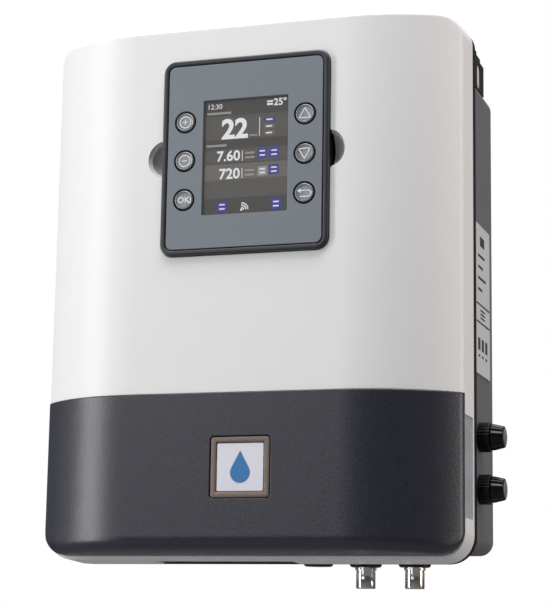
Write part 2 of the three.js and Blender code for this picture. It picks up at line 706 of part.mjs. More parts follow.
function jackNut(x) {
  const seat = HOUSING_BOTTOM + WALL + GAP;
  const hexagon = planPrism(toothedDisc(3, 7.6, 7.6), seat, seat + 3);
  hexagon.translate(x, GLAND_Y, 0);
  return cut(hexagon, rod('z', 4.4, seat - 1, seat + 4, [x, GLAND_Y, 0], 18));
}

// ---------------------------------------------------------------- materials and assembly

const FINISHES = {
  white_plastic: [0xd9d8d5, 0.45, 0],
  charcoal_plastic: [0x2b2d35, 0.6, 0],
  housing_grey: [0x5f5e63, 0.65, 0],
  black_plastic: [0x101012, 0.4, 0],
  tray_grey: [0x8c8c8e, 0.6, 0],
  inset_grey: [0x949c9f, 0.5, 0],
  slate_plastic: [0x4b4e57, 0.45, 0],
  panel_grey: [0x7b828a, 0.5, 0],
  screen: [0x3f3d3b, 0.3, 0],
  glass: [0x20242a, 0.1, 0],
  badge_taupe: [0x7a6a64, 0.4, 0.2],
  badge_face: [0xe4e4ef, 0.4, 0],
  label_silver: [0xb5b6b9, 0.4, 0.3],
  rubber: [0x4a4a4c, 0.9, 0],
  board_green: [0x1f5c3a, 0.5, 0],
  copper_wrap: [0xb98f2c, 0.5, 0.1],
  steel: [0xb8bac0, 0.35, 1],
  nickel: [0xc9c3ba, 0.2, 1],
  black_metal: [0x17140f, 0.6, 0.6],
  relay_blue: [0x2a5fa8, 0.5, 0],
  terminal_green: [0x3b8f4a, 0.6, 0],
  fuse_glass: [0xd8e0e2, 0.1, 0],
};

const generator = new THREE.Group();

function place(name, geometry, finish) {
  const [color, roughness, metalness] = FINISHES[finish];
  const mesh = new THREE.Mesh(geometry, new THREE.MeshStandardMaterial({ color, roughness, metalness }));
  mesh.name = name;
  generator.add(mesh);
}

function addEnclosure() {
  place('rear_housing', rearHousing(), 'housing_grey');
  place('seal_frame', sealFrame(), 'black_plastic');
  place('front_cover', frontCover(), 'white_plastic');
  place('side_inset_left', sideInset(-1), 'inset_grey');
  place('side_inset_right', sideInset(1), 'inset_grey');
  place('cable_entry_strip', cableEntryStrip(), 'rubber');
  place('terminal_cover', terminalCover(), 'charcoal_plastic');
  place('badge_frame', badgeFrame(), 'badge_taupe');
  place('badge_plate', badgePlate(), 'badge_face');
  place('rating_label', ratingLabel(), 'label_silver');
  place('heat_sink', heatSink(), 'black_metal');
}

function addDisplay() {
  place('display_tray', displayTray(), 'tray_grey');
  place('display_back', displayBack(), 'black_plastic');
  place('display_bezel', displayBezel(), 'slate_plastic');
  place('key_panel', keyPanel(), 'panel_grey');
  place('lcd_window', lcdWindow(), 'glass');
  place('lcd_panel', lcdPanel(), 'screen');
  place('display_board', displayBoard(), 'board_green');
  const names = ['key_plus', 'key_minus', 'key_ok', 'key_up', 'key_down', 'key_return'];
  keyPlaces().forEach(([x, z], i) => place(names[i], keyCap(x, z), 'panel_grey'));
}

function addElectronics() {
  place('main_board', mainBoard(), 'board_green');
  STANDOFFS.forEach((at, i) => place(`board_screw_${i + 1}`, boardScrew(at), 'steel'));
  place('power_transformer', powerTransformer(), 'copper_wrap');
  place('transformer_bolt', transformerBolt(), 'steel');
  place('capacitor_1', capacitor(24, 76), 'black_plastic');
  place('capacitor_2', capacitor(54, 76), 'black_plastic');
  place('relay_1', relay(30, 20), 'relay_blue');
  place('relay_2', relay(30, 0), 'relay_blue');
  place('power_terminals', terminalBlock(5, -78, -100), 'terminal_green');
  place('signal_terminals', terminalBlock(8, -20, -100), 'terminal_green');
  place('bridge_rectifier', bridgeRectifier(), 'black_plastic');
}

function addFittings() {
  FUSE_HEIGHTS.forEach((z, i) => {
    place(`fuse_holder_${i + 1}`, fuseHolderBody(z), 'black_plastic');
    place(`fuse_nut_${i + 1}`, fuseNut(z), 'black_plastic');
    place(`fuse_cap_${i + 1}`, fuseCap(z), 'black_plastic');
    place(`fuse_link_${i + 1}`, fuseLink(z), 'fuse_glass');
  });
  place('gland_plate', glandPlate(), 'black_plastic');
  place('blanking_plug', blankingPlug(), 'black_plastic');
  JACK_POSITIONS.forEach((x, i) => {
    place(`jack_collar_${i + 1}`, jackCollar(x), 'black_plastic');
    place(`bayonet_jack_${i + 1}`, bayonetJack(x), 'nickel');
    place(`jack_nut_${i + 1}`, jackNut(x), 'nickel');
  });
}

addEnclosure();
addDisplay();
addElectronics();
addFittings();

export default generator;
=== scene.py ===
"""A wall-mounted salt chlorine generator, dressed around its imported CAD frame.

Lengths are millimetres in the row frame, +Z up and the front facing -Y. build() turns them into metres.
"""

import math

import bmesh
import bpy
from mathutils import Matrix, Vector


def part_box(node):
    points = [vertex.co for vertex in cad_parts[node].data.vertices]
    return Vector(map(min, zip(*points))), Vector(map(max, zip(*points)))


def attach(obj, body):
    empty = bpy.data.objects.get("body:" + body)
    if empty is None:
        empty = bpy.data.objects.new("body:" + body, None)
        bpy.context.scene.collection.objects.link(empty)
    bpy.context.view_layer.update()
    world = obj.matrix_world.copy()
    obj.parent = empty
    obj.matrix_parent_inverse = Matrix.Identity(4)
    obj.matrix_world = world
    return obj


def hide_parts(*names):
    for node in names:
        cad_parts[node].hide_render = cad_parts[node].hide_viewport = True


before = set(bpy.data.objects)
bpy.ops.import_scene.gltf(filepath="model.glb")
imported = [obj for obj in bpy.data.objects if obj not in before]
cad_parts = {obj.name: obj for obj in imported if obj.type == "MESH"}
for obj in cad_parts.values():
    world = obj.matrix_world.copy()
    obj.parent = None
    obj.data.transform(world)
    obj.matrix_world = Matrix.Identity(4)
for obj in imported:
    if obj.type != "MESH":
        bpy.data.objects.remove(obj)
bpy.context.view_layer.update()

MM = 0.001
TURN = 2 * math.pi
QUARTER = math.pi / 2

# ---- sizes


class Box:
    """A CAD node's box at rest, in millimetres."""

    def __init__(self, node):
        low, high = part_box(node)
        self.x, self.y, self.z = ((low[i] / MM, high[i] / MM) for i in range(3))
        self.mid = [(low[i] + high[i]) / 2 / MM for i in range(3)]
        self.size = [(high[i] - low[i]) / MM for i in range(3)]


COVER = Box("front_cover")
TERMINAL = Box("terminal_cover")
SEAL = Box("seal_frame")
HOUSING = Box("rear_housing")
BEZEL = Box("display_bezel")
PANEL = Box("key_panel")
MODULE = Box("display_back")
TRAY = Box("display_tray")
WINDOW = Box("lcd_window")
LCD = Box("lcd_panel")
BADGE = Box("badge_frame")
BADGE_PLATE = Box("badge_plate")
LABEL = Box("rating_label")
GLAND = Box("gland_plate")
BOARD = Box("main_board")

# The plan of the front: a flat middle, a wide sweep and a small corner each side
FLAT_HALF_WIDTH = 53.2
SWEEP_RADIUS = 74.1
SIDE_CORNER_RADIUS = 5.0
COVER_CORNER = 13.7
COVER_TOP_CORNER = 10.5
TERMINAL_CORNER = 12.9
WALL = 2.6
TOP_RISE = 5.0
FACE_GAP = 0.3
TOP_FILLET = 1.6
BOTTOM_FILLET = 6.6
BOTTOM_DRAFT = 0.00045
HOUSING_CORNER = 7.0
HOUSING_HALF_WIDTH = LABEL.x[0] - FACE_GAP
HOUSING_FLOOR = -127.3
HOUSING_ROOF = 114.9
FLANGE_BACK = -46.2
FLANGE_INSET = 2.3
DISPLAY_CORNER = 6.5
SCOOP_RADIUS = 9.8
SCOOP_OFFSET = 41.9
SCOOP_DEPTH = 9.0
GLAND_BORE = 5.4
GLAND_NODES = ("blanking_plug", "jack_collar_1", "jack_collar_2")
BADGE_CORNER = 1.4
MARK_WIDTH = 0.5
KEYS = ("key_plus", "key_minus", "key_ok", "key_up", "key_down", "key_return")
FUSES = ("1", "2")

# ---- camera, lights and floor

CAMERA_PLACE = Vector((295.05, -937.5, -172.55)) * MM
CAMERA_HEADING = math.radians(18.149)
CAMERA_RISE = math.radians(10.419)
CAMERA_ROLL = math.radians(-0.895)
CAMERA_LENS = 108.77
FLOOR_HEIGHT = -0.75
WORLD_STRENGTH = 0.21
WINDING_TURNS = 36


def add_camera():
    camera = bpy.data.objects.new("camera", bpy.data.cameras.new("camera"))
    bpy.context.scene.collection.objects.link(camera)
    turns = [(CAMERA_HEADING, "Z"), (CAMERA_RISE, "X"), (CAMERA_ROLL, "Y"), (QUARTER, "X")]
    matrix = Matrix.Identity(4)
    for angle, axis in turns:
        matrix = matrix @ Matrix.Rotation(angle, 4, axis)
    camera.matrix_world = Matrix.Translation(CAMERA_PLACE) @ matrix
    camera.data.lens = CAMERA_LENS
    camera.data.sensor_width = 36
    camera.data.clip_start = 0.01
    bpy.context.scene.camera = camera


def add_softbox(name, place, target, size, power, colour=(1, 1, 1)):
    """A rectangular lamp at place, in metres, that faces target."""
    light = bpy.data.lights.new(name, "AREA")
    light.shape = "RECTANGLE"
    light.size, light.size_y = size
    light.energy = power
    light.color = colour
    lamp = bpy.data.objects.new(name, light)
    bpy.context.scene.collection.objects.link(lamp)
    lamp.location = place
    lamp.rotation_euler = (Vector(target) - Vector(place)).to_track_quat("-Z", "Y").to_euler()
    lamp.visible_camera = False


def add_lights():
    add_softbox("left_strip", (-1.2, -0.8, 0.05), (0, -0.09, 0), (0.24, 1.5), 11.5)
    add_softbox("side_strip", (-1.3, -0.15, 0.05), (0, -0.09, 0), (0.4, 1.5), 0.7)
    add_softbox("front_softbox", (-0.75, -1.9, 0.5), (0, -0.05, 0), (0.8, 1.4), 4.6)
    add_softbox("top_softbox", (0.1, -0.3, 1.3), (0, 0, 0), (1.4, 1.0), 29)
    add_softbox("right_card", (1.2, 0.1, 0.1), (0, -0.05, 0), (0.5, 1.2), 5.6, (1.0, 0.9, 0.83))


def add_world():
    """A white backdrop, with a dimmer room lighting the object."""
    world = bpy.data.worlds.new("studio")
    bpy.context.scene.world = world
    world.use_nodes = True
    nodes, links = world.node_tree.nodes, world.node_tree.links
    room = nodes["Background"]
    room.inputs["Color"].default_value = (0.96, 0.97, 1.0, 1)
    room.inputs["Strength"].default_value = WORLD_STRENGTH
    backdrop = nodes.new("ShaderNodeBackground")
    backdrop.inputs["Color"].default_value = (1, 1, 1, 1)
    backdrop.inputs["Strength"].default_value = 1.0
    path = nodes.new("ShaderNodeLightPath")
    mix = nodes.new("ShaderNodeMixShader")
    links.new(path.outputs["Is Camera Ray"], mix.inputs["Fac"])
    links.new(room.outputs["Background"], mix.inputs[1])
    links.new(backdrop.outputs["Background"], mix.inputs[2])
    links.new(mix.outputs["Shader"], nodes["World Output"].inputs["Surface"])


def add_floor():
    bpy.ops.mesh.primitive_plane_add(size=12, location=(0, 0, FLOOR_HEIGHT))
    floor = bpy.context.object
    floor.name = "studio_floor"
    floor.data.materials.append(Finish("studio_floor", (0.25, 0.25, 0.26), 0.9).material)


# ---- materials


class Finish:
    """A Principled material, with the nodes that give its colour, roughness and relief."""

    def __init__(self, name, colour, roughness, **values):
        self.material = bpy.data.materials.new(name)
        self.material.use_nodes = True
        self.nodes = self.material.node_tree.nodes
        self.links = self.material.node_tree.links
        self.shader = self.nodes["Principled BSDF"]
        self.colour = colour
        self.shader.inputs["Base Color"].default_value = (*colour, 1)
        self.shader.inputs["Roughness"].default_value = roughness
        for socket, value in values.items():
            self.shader.inputs[socket.replace("_", " ")].default_value = value
        self.place = self.nodes.new("ShaderNodeTexCoord").outputs["Object"]

    def feed(self, socket, value):
        """Gives a socket a plain value, or a link from another socket."""
        if isinstance(value, bpy.types.NodeSocket):
            self.links.new(value, socket)
        else:
            socket.default_value = value

    def node(self, kind, **inputs):
        """A new node, its inputs given by name."""
        node = self.nodes.new(f"ShaderNode{kind}")
        for name, value in inputs.items():
            self.feed(node.inputs[name.replace("_", " ")], value)
        return node

    def stretch(self, factors):
        """Scales the pattern's coordinates along X, Y and Z."""
        return self.node("Mapping", Scale=factors, Vector=self.place).outputs["Vector"]

    def noise(self, size, detail=2.0, place=None):
        """A noise whose spots are about size millimetres wide."""
        place = place or self.place
        return self.node("TexNoise", Scale=1 / (size * MM), Detail=detail, Vector=place).outputs["Fac"]

    def ranged(self, value, low, high, start=0.3, end=0.7):
        limits = {"From_Min": start, "From_Max": end, "To_Min": low, "To_Max": high}
        return self.node("MapRange", Value=value, **limits).outputs["Result"]

    def maths(self, operation, *values):
        """A Math node over sockets and plain numbers."""
        node = self.nodes.new("ShaderNodeMath")
        node.operation = operation
        for socket, value in zip(node.inputs, values):
            self.feed(socket, value)
        return node.outputs[0]

    def tint(self, value, low, high):
        """Mixes two colours into the base colour."""
        mix = self.nodes.new("ShaderNodeMix")
        mix.data_type = "RGBA"
        mix.inputs[6].default_value = (*low, 1)
        mix.inputs[7].default_value = (*high, 1)
        self.links.new(value, mix.inputs[0])
        self.links.new(mix.outputs[2], self.shader.inputs["Base Color"])
        return self

    def mottle(self, value, spread):
        """Varies the base colour a little either way."""
        low = [c * (1 - spread) for c in self.colour]
        high = [min(1.0, c * (1 + spread)) for c in self.colour]
        return self.tint(self.ranged(value, 0, 1), low, high)

    def vary_roughness(self, value, low, high):
        self.links.new(self.ranged(value, low, high), self.shader.inputs["Roughness"])
        return self

    def relief(self, value, depth):
        bump = self.node("Bump", Strength=1.0, Distance=depth * MM, Height=value)
        self.links.new(bump.outputs["Normal"], self.shader.inputs["Normal"])
        return self


def moulded(name, colour, roughness, grain=0.5, depth=0.006, spread=0.02, **values):
    """Moulded plastic: a fine texture from the tool, and faint flow marks."""
    finish = Finish(name, colour, roughness, **values)
    fine = finish.noise(grain, 3)
    flow = finish.noise(22, 2)
    finish.mottle(flow, spread)
    finish.vary_roughness(finish.noise(grain * 2.2), roughness - 0.04, roughness + 0.04)
    return finish.relief(fine, depth).material


def charcoal_material():
    """Spark-eroded dark plastic: each grain of the texture catches the light."""
    finish = Finish("charcoal_plastic", (0.013, 0.014, 0.023), 0.34, Specular_IOR_Level=0.8)
    grain = finish.noise(0.62, 3)
    finish.tint(finish.ranged(grain, 0, 1, 0.36, 0.66), (0.004, 0.0045, 0.012), (0.016, 0.018, 0.038))
    finish.vary_roughness(finish.noise(1.3), 0.3, 0.35)
    return finish.relief(grain, 0.1).material


def brushed_metal(name, colour, roughness, stretch, depth=0.004):
    finish = Finish(name, colour, roughness, Metallic=1.0)
    streaks = finish.noise(0.8, 4, finish.stretch(stretch))
    finish.mottle(streaks, 0.07)
    finish.vary_roughness(streaks, roughness - 0.05, roughness + 0.06)
    return finish.relief(streaks, depth).material


def glowing(name, colour, strength=1.0):
    """A patch of the lit screen."""
    finish = Finish(name, (0.01, 0.01, 0.01), 0.35, Emission_Strength=strength)
    finish.shader.inputs["Emission Color"].default_value = (*colour, 1)
    finish.relief(finish.noise(0.3), 0.002)
    return finish.material


def board_material():
    """Green solder mask over copper tracks."""
    finish = Finish("board_green", (0.02, 0.11, 0.05), 0.35)
    upright = finish.node("Mapping", Rotation=(QUARTER, 0, 0), Vector=finish.place).outputs["Vector"]
    colours = {
        "Color1": (0.015, 0.1, 0.045, 1),
        "Color2": (0.02, 0.125, 0.055, 1),
        "Mortar": (0.05, 0.24, 0.1, 1),
    }
    tracks = finish.node("TexBrick", Scale=60, Mortar_Size=0.03, Vector=upright, **colours)
    finish.links.new(tracks.outputs["Color"], finish.shader.inputs["Base Color"])
    return finish.relief(tracks.outputs["Fac"], 0.03).material


def glass_material(name, colour, alpha):
    """Thin clear glass: a faint tint and a clean gloss."""
    finish = Finish(name, colour, 0.04, Alpha=alpha)
    return finish.mottle(finish.noise(14, 2), 0.05).material


def winding_material():
    """Yellow tape wound round a ring, one turn every few degrees."""
    finish = Finish("copper_wrap", (0.55, 0.36, 0.05), 0.42)
    middle = Box("power_transformer").mid
    centred = finish.nodes.new("ShaderNodeVectorMath")
    centred.operation = "SUBTRACT"
    centred.inputs[1].default_value = [c * MM for c in middle]
    finish.links.new(finish.place, centred.inputs[0])
    split = finish.nodes.new("ShaderNodeSeparateXYZ")
    finish.links.new(centred.outputs["Vector"], split.inputs["Vector"])
    angle = finish.maths("ARCTAN2", split.outputs["Z"], split.outputs["X"])
    wave = finish.maths("SINE", finish.maths("MULTIPLY", angle, WINDING_TURNS))
    level = finish.ranged(wave, 0, 1, -1, 1)
    finish.tint(level, (0.36, 0.2, 0.025), (0.62, 0.42, 0.07))
    return finish.relief(level, 0.5).material


# Moulded finishes: colour, roughness, grain size, grain depth and, where it is not usual, colour spread
MOULDED = {
    "white_plastic": ((0.885, 0.88, 0.878), 0.4, 0.4, 0.004, 0.006),
    "housing_grey": ((0.128, 0.128, 0.145), 0.5, 0.5, 0.012, 0.03),
    # Near-black for rubber and plastic; on the key flanges and the seal it is also painted shade in the gaps.
    "seal_black": ((0.005, 0.005, 0.006), 0.5, 0.6, 0.012),
    "inset_grey": ((0.37, 0.415, 0.44), 0.4, 0.5, 0.005),
    "entry_rubber": ((0.09, 0.09, 0.095), 0.75, 0.8, 0.02),
    "badge_taupe": ((0.2, 0.15, 0.13), 0.35, 0.4, 0.004),
    "badge_face": ((0.78, 0.78, 0.86), 0.22, 1.2, 0.002),
    "badge_drop": ((0.02, 0.17, 0.45), 0.25, 0.5, 0.002),
    "label_silver": ((0.74, 0.745, 0.76), 0.35, 0.5, 0.003),
    "label_ink": ((0.03, 0.03, 0.034), 0.5, 0.5, 0.002),
    "tray_grey": ((0.78, 0.78, 0.79), 0.5, 0.5, 0.008),
    "slate_plastic": ((0.03, 0.032, 0.04), 0.33, 0.45, 0.014),
    "panel_grey": ((0.195, 0.222, 0.25), 0.38, 0.35, 0.004, 0.012),
    "key_grey": ((0.24, 0.25, 0.26), 0.24, 0.4, 0.004),
    "key_print": ((0.85, 0.85, 0.86), 0.4, 0.4, 0.002),
    "fitting_black": ((0.003, 0.003, 0.0035), 0.25, 0.7, 0.004),
    "cap_face": ((0.16, 0.165, 0.175), 0.4, 0.4, 0.01),
    "capacitor_sleeve": ((0.012, 0.014, 0.03), 0.3, 0.8, 0.004),
    "relay_blue": ((0.02, 0.11, 0.36), 0.35, 0.5, 0.004),
    "terminal_green": ((0.04, 0.25, 0.08), 0.42, 0.5, 0.006),
    # A pale warm patch in the heat sink's end-fin slots: painted light for the backdrop seen through them.
    "painted_slot_light": ((0.8, 0.74, 0.69), 0.45, 0.4, 0.006),
}
# What some moulded finishes add: a weaker gloss, or a metallic paint
EXTRAS = {
    "seal_black": {"Specular_IOR_Level": 0.2},
    "fitting_black": {"Specular_IOR_Level": 0.3},
    "badge_taupe": {"Metallic": 0.3},
    "label_silver": {"Metallic": 0.2},
    "key_grey": {"Metallic": 0.35},
    "painted_slot_light": {"Metallic": 0.3},
}
# Metals: colour, roughness, stretch of the brushing and, where it is not usual, its depth
METALS = {
    "steel": ((0.55, 0.56, 0.58), 0.32, (1, 4, 1)),
    "nickel": ((0.74, 0.7, 0.65), 0.12, (6, 6, 1), 0.001),
    "black_metal": ((0.014, 0.011, 0.009), 0.42, (4, 4, 0.6), 0.01),
}
SCREEN_COLOURS = {
    "screen_dark": (0.047, 0.044, 0.041),
    "screen_mid": (0.078, 0.073, 0.068),
    "screen_light": (0.122, 0.114, 0.107),
    "screen_white": (0.78, 0.78, 0.78),
    "screen_grey": (0.28, 0.27, 0.26),
    "screen_blue": (0.035, 0.035, 0.27),
}


def make_materials():
    """Every finish by name; most names are the record's material slots."""
    made = {name: moulded(name, *values, **EXTRAS.get(name, {})) for name, values in MOULDED.items()}
    made.update({name: brushed_metal(name, *values) for name, values in METALS.items()})
    made.update({name: glowing(name, colour) for name, colour in SCREEN_COLOURS.items()})
    made["charcoal_plastic"] = charcoal_material()
    made["board_green"] = board_material()
    made["copper_wrap"] = winding_material()
    made["window_glass"] = glass_material("window_glass", (0.02, 0.02, 0.022), 0.06)
    made["fuse_glass"] = glass_material("fuse_glass", (0.75, 0.8, 0.82), 0.25)
    return made


# ---- mesh helpers


def quads(first, second, count):
    """The faces between two rings of count vertices, whose first vertices are given."""
    following = [(j + 1) % count for j in range(count)]
    return [(first + j, first + k, second + k, second + j) for j, k in enumerate(following)]


def loft(rings, ends="cap"):
    """Joins rings of equal length. ends is cap for closed ends, or loop where the last meets the first."""
    count = len(rings[0])
    vertices = [point for ring in rings for point in ring]
    faces = []
    spans = len(rings) if ends == "loop" else len(rings) - 1
    for i in range(spans):
        faces += quads(i * count, (i + 1) % len(rings) * count, count)
    if ends == "cap":
        faces.append(tuple(range(count))[::-1])
        faces.append(tuple(range((len(rings) - 1) * count, len(rings) * count)))
    return vertices, faces


def rounded(box_x, box_z, radius, inset=0.0, steps=10, top_radius=None):
    """Points of a rounded rectangle, moved inwards by inset, as (x, z)."""
    points = []
    corners = [(1, -1, -QUARTER), (1, 1, 0.0), (-1, 1, QUARTER), (-1, -1, math.pi)]
    for side, end, start in corners:
        outer = top_radius if top_radius and end > 0 else radius
        inner = max(outer - inset, 0.08)
        x = box_x[1] - inset - inner if side > 0 else box_x[0] + inset + inner
        z = box_z[1] - inset - inner if end > 0 else box_z[0] + inset + inner
        for i in range(steps + 1):
            angle = start + QUARTER * i / steps
            points.append((x + inner * math.cos(angle), z + inner * math.sin(angle)))
    return points


def plate(outline, profile):
    """A slab seen from the front: outline(inset) gives (x, z), and profile lists (inset, y) from the back."""
    return loft([[(x, y, z) for x, z in outline(inset)] for inset, y in profile])


def frame_band(outline, profile):
    """A closed band round an opening; its section is a closed profile of (inset, y)."""
    rings = [[(x, y, z) for x, z in outline(inset)] for inset, y in profile]
    return loft(rings, "loop")


def turned(axis, profile, centre, segments=48):
    """Turns a profile of (radius, station) about a line along axis through centre."""
    rings = []
    least = 1e-3
    for radius, station in profile:
        ring = []
        for i in range(segments):
            a, b = math.cos(TURN * i / segments), math.sin(TURN * i / segments)
            across = max(radius, least)
            offset = {"x": (0, a, b), "y": (a, 0, b), "z": (a, b, 0)}[axis]
            point = [centre[n] + across * offset[n] for n in range(3)]
            point["xyz".index(axis)] = station
            ring.append(tuple(point))
        rings.append(ring)
    closed = profile[0] == profile[-1]
    return loft(rings[:-1], "loop") if closed else loft(rings)


def block(x, y, z):
    ring = [(x[0], z[0]), (x[1], z[0]), (x[1], z[1]), (x[0], z[1])]
    return loft([[(a, depth, b) for a, b in ring] for depth in y])


def merged(*parts):
    vertices, faces = [], []
    for part_vertices, part_faces in parts:
        start = len(vertices)
        vertices += part_vertices
        faces += [tuple(i + start for i in face) for face in part_faces]
    return vertices, faces


def build(name, shape, finishes=None):
    """A Blender object from vertices and faces in millimetres, with its faces pointing out.

    finishes, where given, holds each face's place in the object's list of materials.
    """
    vertices, faces = shape
    mesh = bpy.data.meshes.new(name)
    mesh.from_pydata([Vector(v) * MM for v in vertices], [], faces)
    if finishes:
        mesh.polygons.foreach_set("material_index", finishes)
    mesh.validate()
    made = bpy.data.objects.new(name, mesh)
    bpy.context.scene.collection.objects.link(made)
    face_outwards(mesh)
    return made


def face_outwards(mesh):
    work = bmesh.new()
    work.from_mesh(mesh)
    bmesh.ops.remove_doubles(work, verts=work.verts, dist=0.002 * MM)
    bmesh.ops.recalc_face_normals(work, faces=work.faces)
    work.to_mesh(mesh)
    work.free()


def settle(made):
    """Applies a piece's modifiers to its mesh."""
    depsgraph = bpy.context.evaluated_depsgraph_get()
    mesh = bpy.data.meshes.new_from_object(made.evaluated_get(depsgraph))
    made.modifiers.clear()
    made.data = mesh
    return made


def combine(made, operation, *shapes):
    """Cuts, joins or intersects a piece with other shapes."""
    tools = [build("tool", shape) for shape in shapes]
    for tool in tools:
        modifier = made.modifiers.new("combine", "BOOLEAN")
        modifier.operation = operation
        modifier.solver = "EXACT"
        modifier.object = tool
    settle(made)
    for tool in tools:
        bpy.data.objects.remove(tool)
    return made


def soften(made, width=0.4, segments=3, angle=35):
    """Rounds a piece's sharp edges, in millimetres, and shades it smooth."""
    bevel = made.modifiers.new("soft_edges", "BEVEL")
    bevel.width = width * MM
    bevel.segments = segments
    bevel.limit_method = "ANGLE"
    bevel.angle_limit = math.radians(angle)
    bevel.use_clamp_overlap = True
    bevel.harden_normals = False
    settle(made)
    made.data.shade_smooth()
    made.modifiers.new("even_shading", "WEIGHTED_NORMAL").keep_sharp = False
    return made


def smooth(made, angle=35):
    made.data.shade_smooth()
    made.data.set_sharp_from_angle(angle=math.radians(angle))
    return made


def dress(made, finish, body, node=None):
    """Gives a piece its material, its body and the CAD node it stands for."""
    made.data.materials.clear()
    made.data.materials.append(FINISHES[finish])
    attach(made, body)
    if node:
        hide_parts(node)
    return made


def keep(node, finish, bevel):
    """A CAD node whose shape is right: softened edges and a better material."""
    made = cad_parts[node]
    weld = made.modifiers.new("weld", "WELD")
    weld.merge_threshold = 0.001 * MM
    edge = made.modifiers.new("soft_edges", "BEVEL")
    edge.width = bevel * MM
    edge.segments = 2
    edge.limit_method = "ANGLE"
    edge.angle_limit = math.radians(40)
    if not made.material_slots:
        made.data.materials.append(None)
    for material_slot in made.material_slots:
        material_slot.material = FINISHES[finish]


def several(name, parts, body, node):
    """One piece of several shapes, each with its own finish. parts lists (shape, finish)."""
    names = sorted({finish for _, finish in parts})
    indices = [names.index(finish) for (_, faces), finish in parts for _ in faces]
    made = build(name, merged(*(shape for shape, _ in parts)), indices)
    for finish in names:
        made.data.materials.append(FINISHES[finish])
    smooth(made)
    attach(made, body)
    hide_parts(node)


# ---- curved covers


def plan_depth(x, face, inset=0.0):
    """How far forward the front stands at x: flat, then the sweep, then the corner."""
    half = COVER.x[1] - inset
    sweep, corner = SWEEP_RADIUS - inset, SIDE_CORNER_RADIUS - inset
    turn = math.asin((half - corner - FLAT_HALF_WIDTH) / (sweep - corner))
    across = abs(x)
    if across <= FLAT_HALF_WIDTH:
        return face
    if across <= FLAT_HALF_WIDTH + sweep * math.sin(turn):
        return face + sweep - math.sqrt(sweep**2 - (across - FLAT_HALF_WIDTH) ** 2)
    corner_y = face + sweep - (sweep - corner) * math.cos(turn)
    return corner_y - math.sqrt(max(0.0, corner**2 - (across - half + corner) ** 2))


def spread(start, end, count):
    return [start + (end - start) * i / count for i in range(count + 1)]


def cover_ring(grid, half, corners, inset, steps=12):
    """One outline of a cover as (x, z, upright), where upright is 1 on the top and bottom edges.

    grid is the flat front's columns and rows, and half its half width and half height. The top
    corners have a radius of their own, so the inset grows or shrinks towards the top.
    """
    (xs, zs), (half_width, half_height), (corner, top) = grid, half, corners
    share = [(z - zs[0]) / (zs[-1] - zs[0]) for z in zs]
    insets = [inset * (1 + (top / corner - 1) * t) for t in share]
    sides = [
        [(x, -half_height + inset, 1.0) for x in xs[0]],
        [(half_width - insets[i], z, 0.0) for i, z in enumerate(zs)],
        [(x, half_height - insets[-1], 1.0) for x in reversed(xs[-1])],
        [(insets[i] - half_width, z, 0.0) for i, z in reversed(list(enumerate(zs)))],
    ]
    radii = [corner - inset, top - insets[-1], top - insets[-1], corner - inset]
    centres = [(xs[0][-1], zs[0]), (xs[-1][-1], zs[-1]), (xs[-1][0], zs[-1]), (xs[0][0], zs[0])]
    ring = []
    for i, side in enumerate(sides):
        ring += side
        for angle in spread(QUARTER * (i - 1), QUARTER * i, steps)[1:-1]:
            x = centres[i][0] + radii[i] * math.cos(angle)
            z = centres[i][1] + radii[i] * math.sin(angle)
            ring.append((x, z, math.sin(angle) ** 2))
    return ring


def front_grid(half_width, half_height, corner, top):
    """The flat front's columns and rows, dense where the front curves and wider where the corners shrink."""
    bend = spread(FLAT_HALF_WIDTH, half_width - corner, 16)
    columns = [-x for x in reversed(bend)] + bend
    zs = spread(corner - half_height, half_height - top, 8)
    growth = (half_width - top) / (half_width - corner) - 1
    xs = [[x * (1 + growth * i / 8) for x in columns] for i in range(9)]
    return xs, zs


def cover_skin(height, corners, face, rear, fillets, inset):
    """One surface of a cover: rings from the rear edge to the flat front, then the front's grid."""
    half = (COVER.x[1] - inset, height / 2 - inset)
    corner, top = (radius - inset for radius in corners)
    grid = front_grid(*half, corner, top)
    insets = [corner * (1 - math.cos(QUARTER * i / 22)) for i in range(23)]
    rings = []
    for depth in spread(rear, rear - 8, 2):
        rings.append([(x, depth, z) for x, z, _ in cover_ring(grid, half, (corner, top), 0)])
    for step in insets:
        ring = []
        for x, z, upright in cover_ring(grid, half, (corner, top), step):
            fillet, reach = (fillets[1], step * top / corner) if z > 0 else (fillets[0], step)
            drop = fillet - math.sqrt(fillet**2 - max(0.0, fillet - reach) ** 2)
            ring.append((x, plan_depth(x, face + inset, inset) + drop * upright, z))
        rings.append(ring)
    return rings, grid


def cover_shell(height, corners, face, rear, fillets, draft, middle=0.0, top_rise=0.0):
    """A thin cover: two skins joined at the rear edge. The bottom drafts in and the top rises to the rear."""
    vertices, faces = [], []
    starts = []
    for inset in (0.0, WALL):
        rings, (xs, zs) = cover_skin(height, corners, face, rear, fillets, inset)
        start, count = len(vertices), len(rings[0])
        starts.append(start)
        vertices += [point for ring in rings for point in ring]
        for i in range(len(rings) - 1):
            faces += quads(start + i * count, start + (i + 1) * count, count)
        first, columns = len(vertices), len(xs[0])
        for row, z in zip(xs, zs):
            vertices += [(x, plan_depth(x, face + inset, inset), z) for x in row]
        for i in range(len(zs) - 1):
            for j in range(columns - 1):
                a = first + i * columns + j
                faces.append((a, a + 1, a + columns + 1, a + columns))
    faces += quads(*starts, count)
    slope = top_rise / (rear - face) / (height / 2)
    shaped = []
    for x, y, z in vertices:
        stretch = slope * (y - face) if z > 0 else -max(0.0, draft * (rear - y))
        shaped.append((x, y, middle + z * (1 + stretch)))
    return shaped, faces


def display_outline(margin):
    """The display's outline, moved outwards by margin."""
    return rounded(BEZEL.x, BEZEL.z, DISPLAY_CORNER, -margin, 14)


def scoop_centres():
    x, _, z = BEZEL.mid
    return [(x - SCOOP_OFFSET, z), (x + SCOOP_OFFSET, z)]


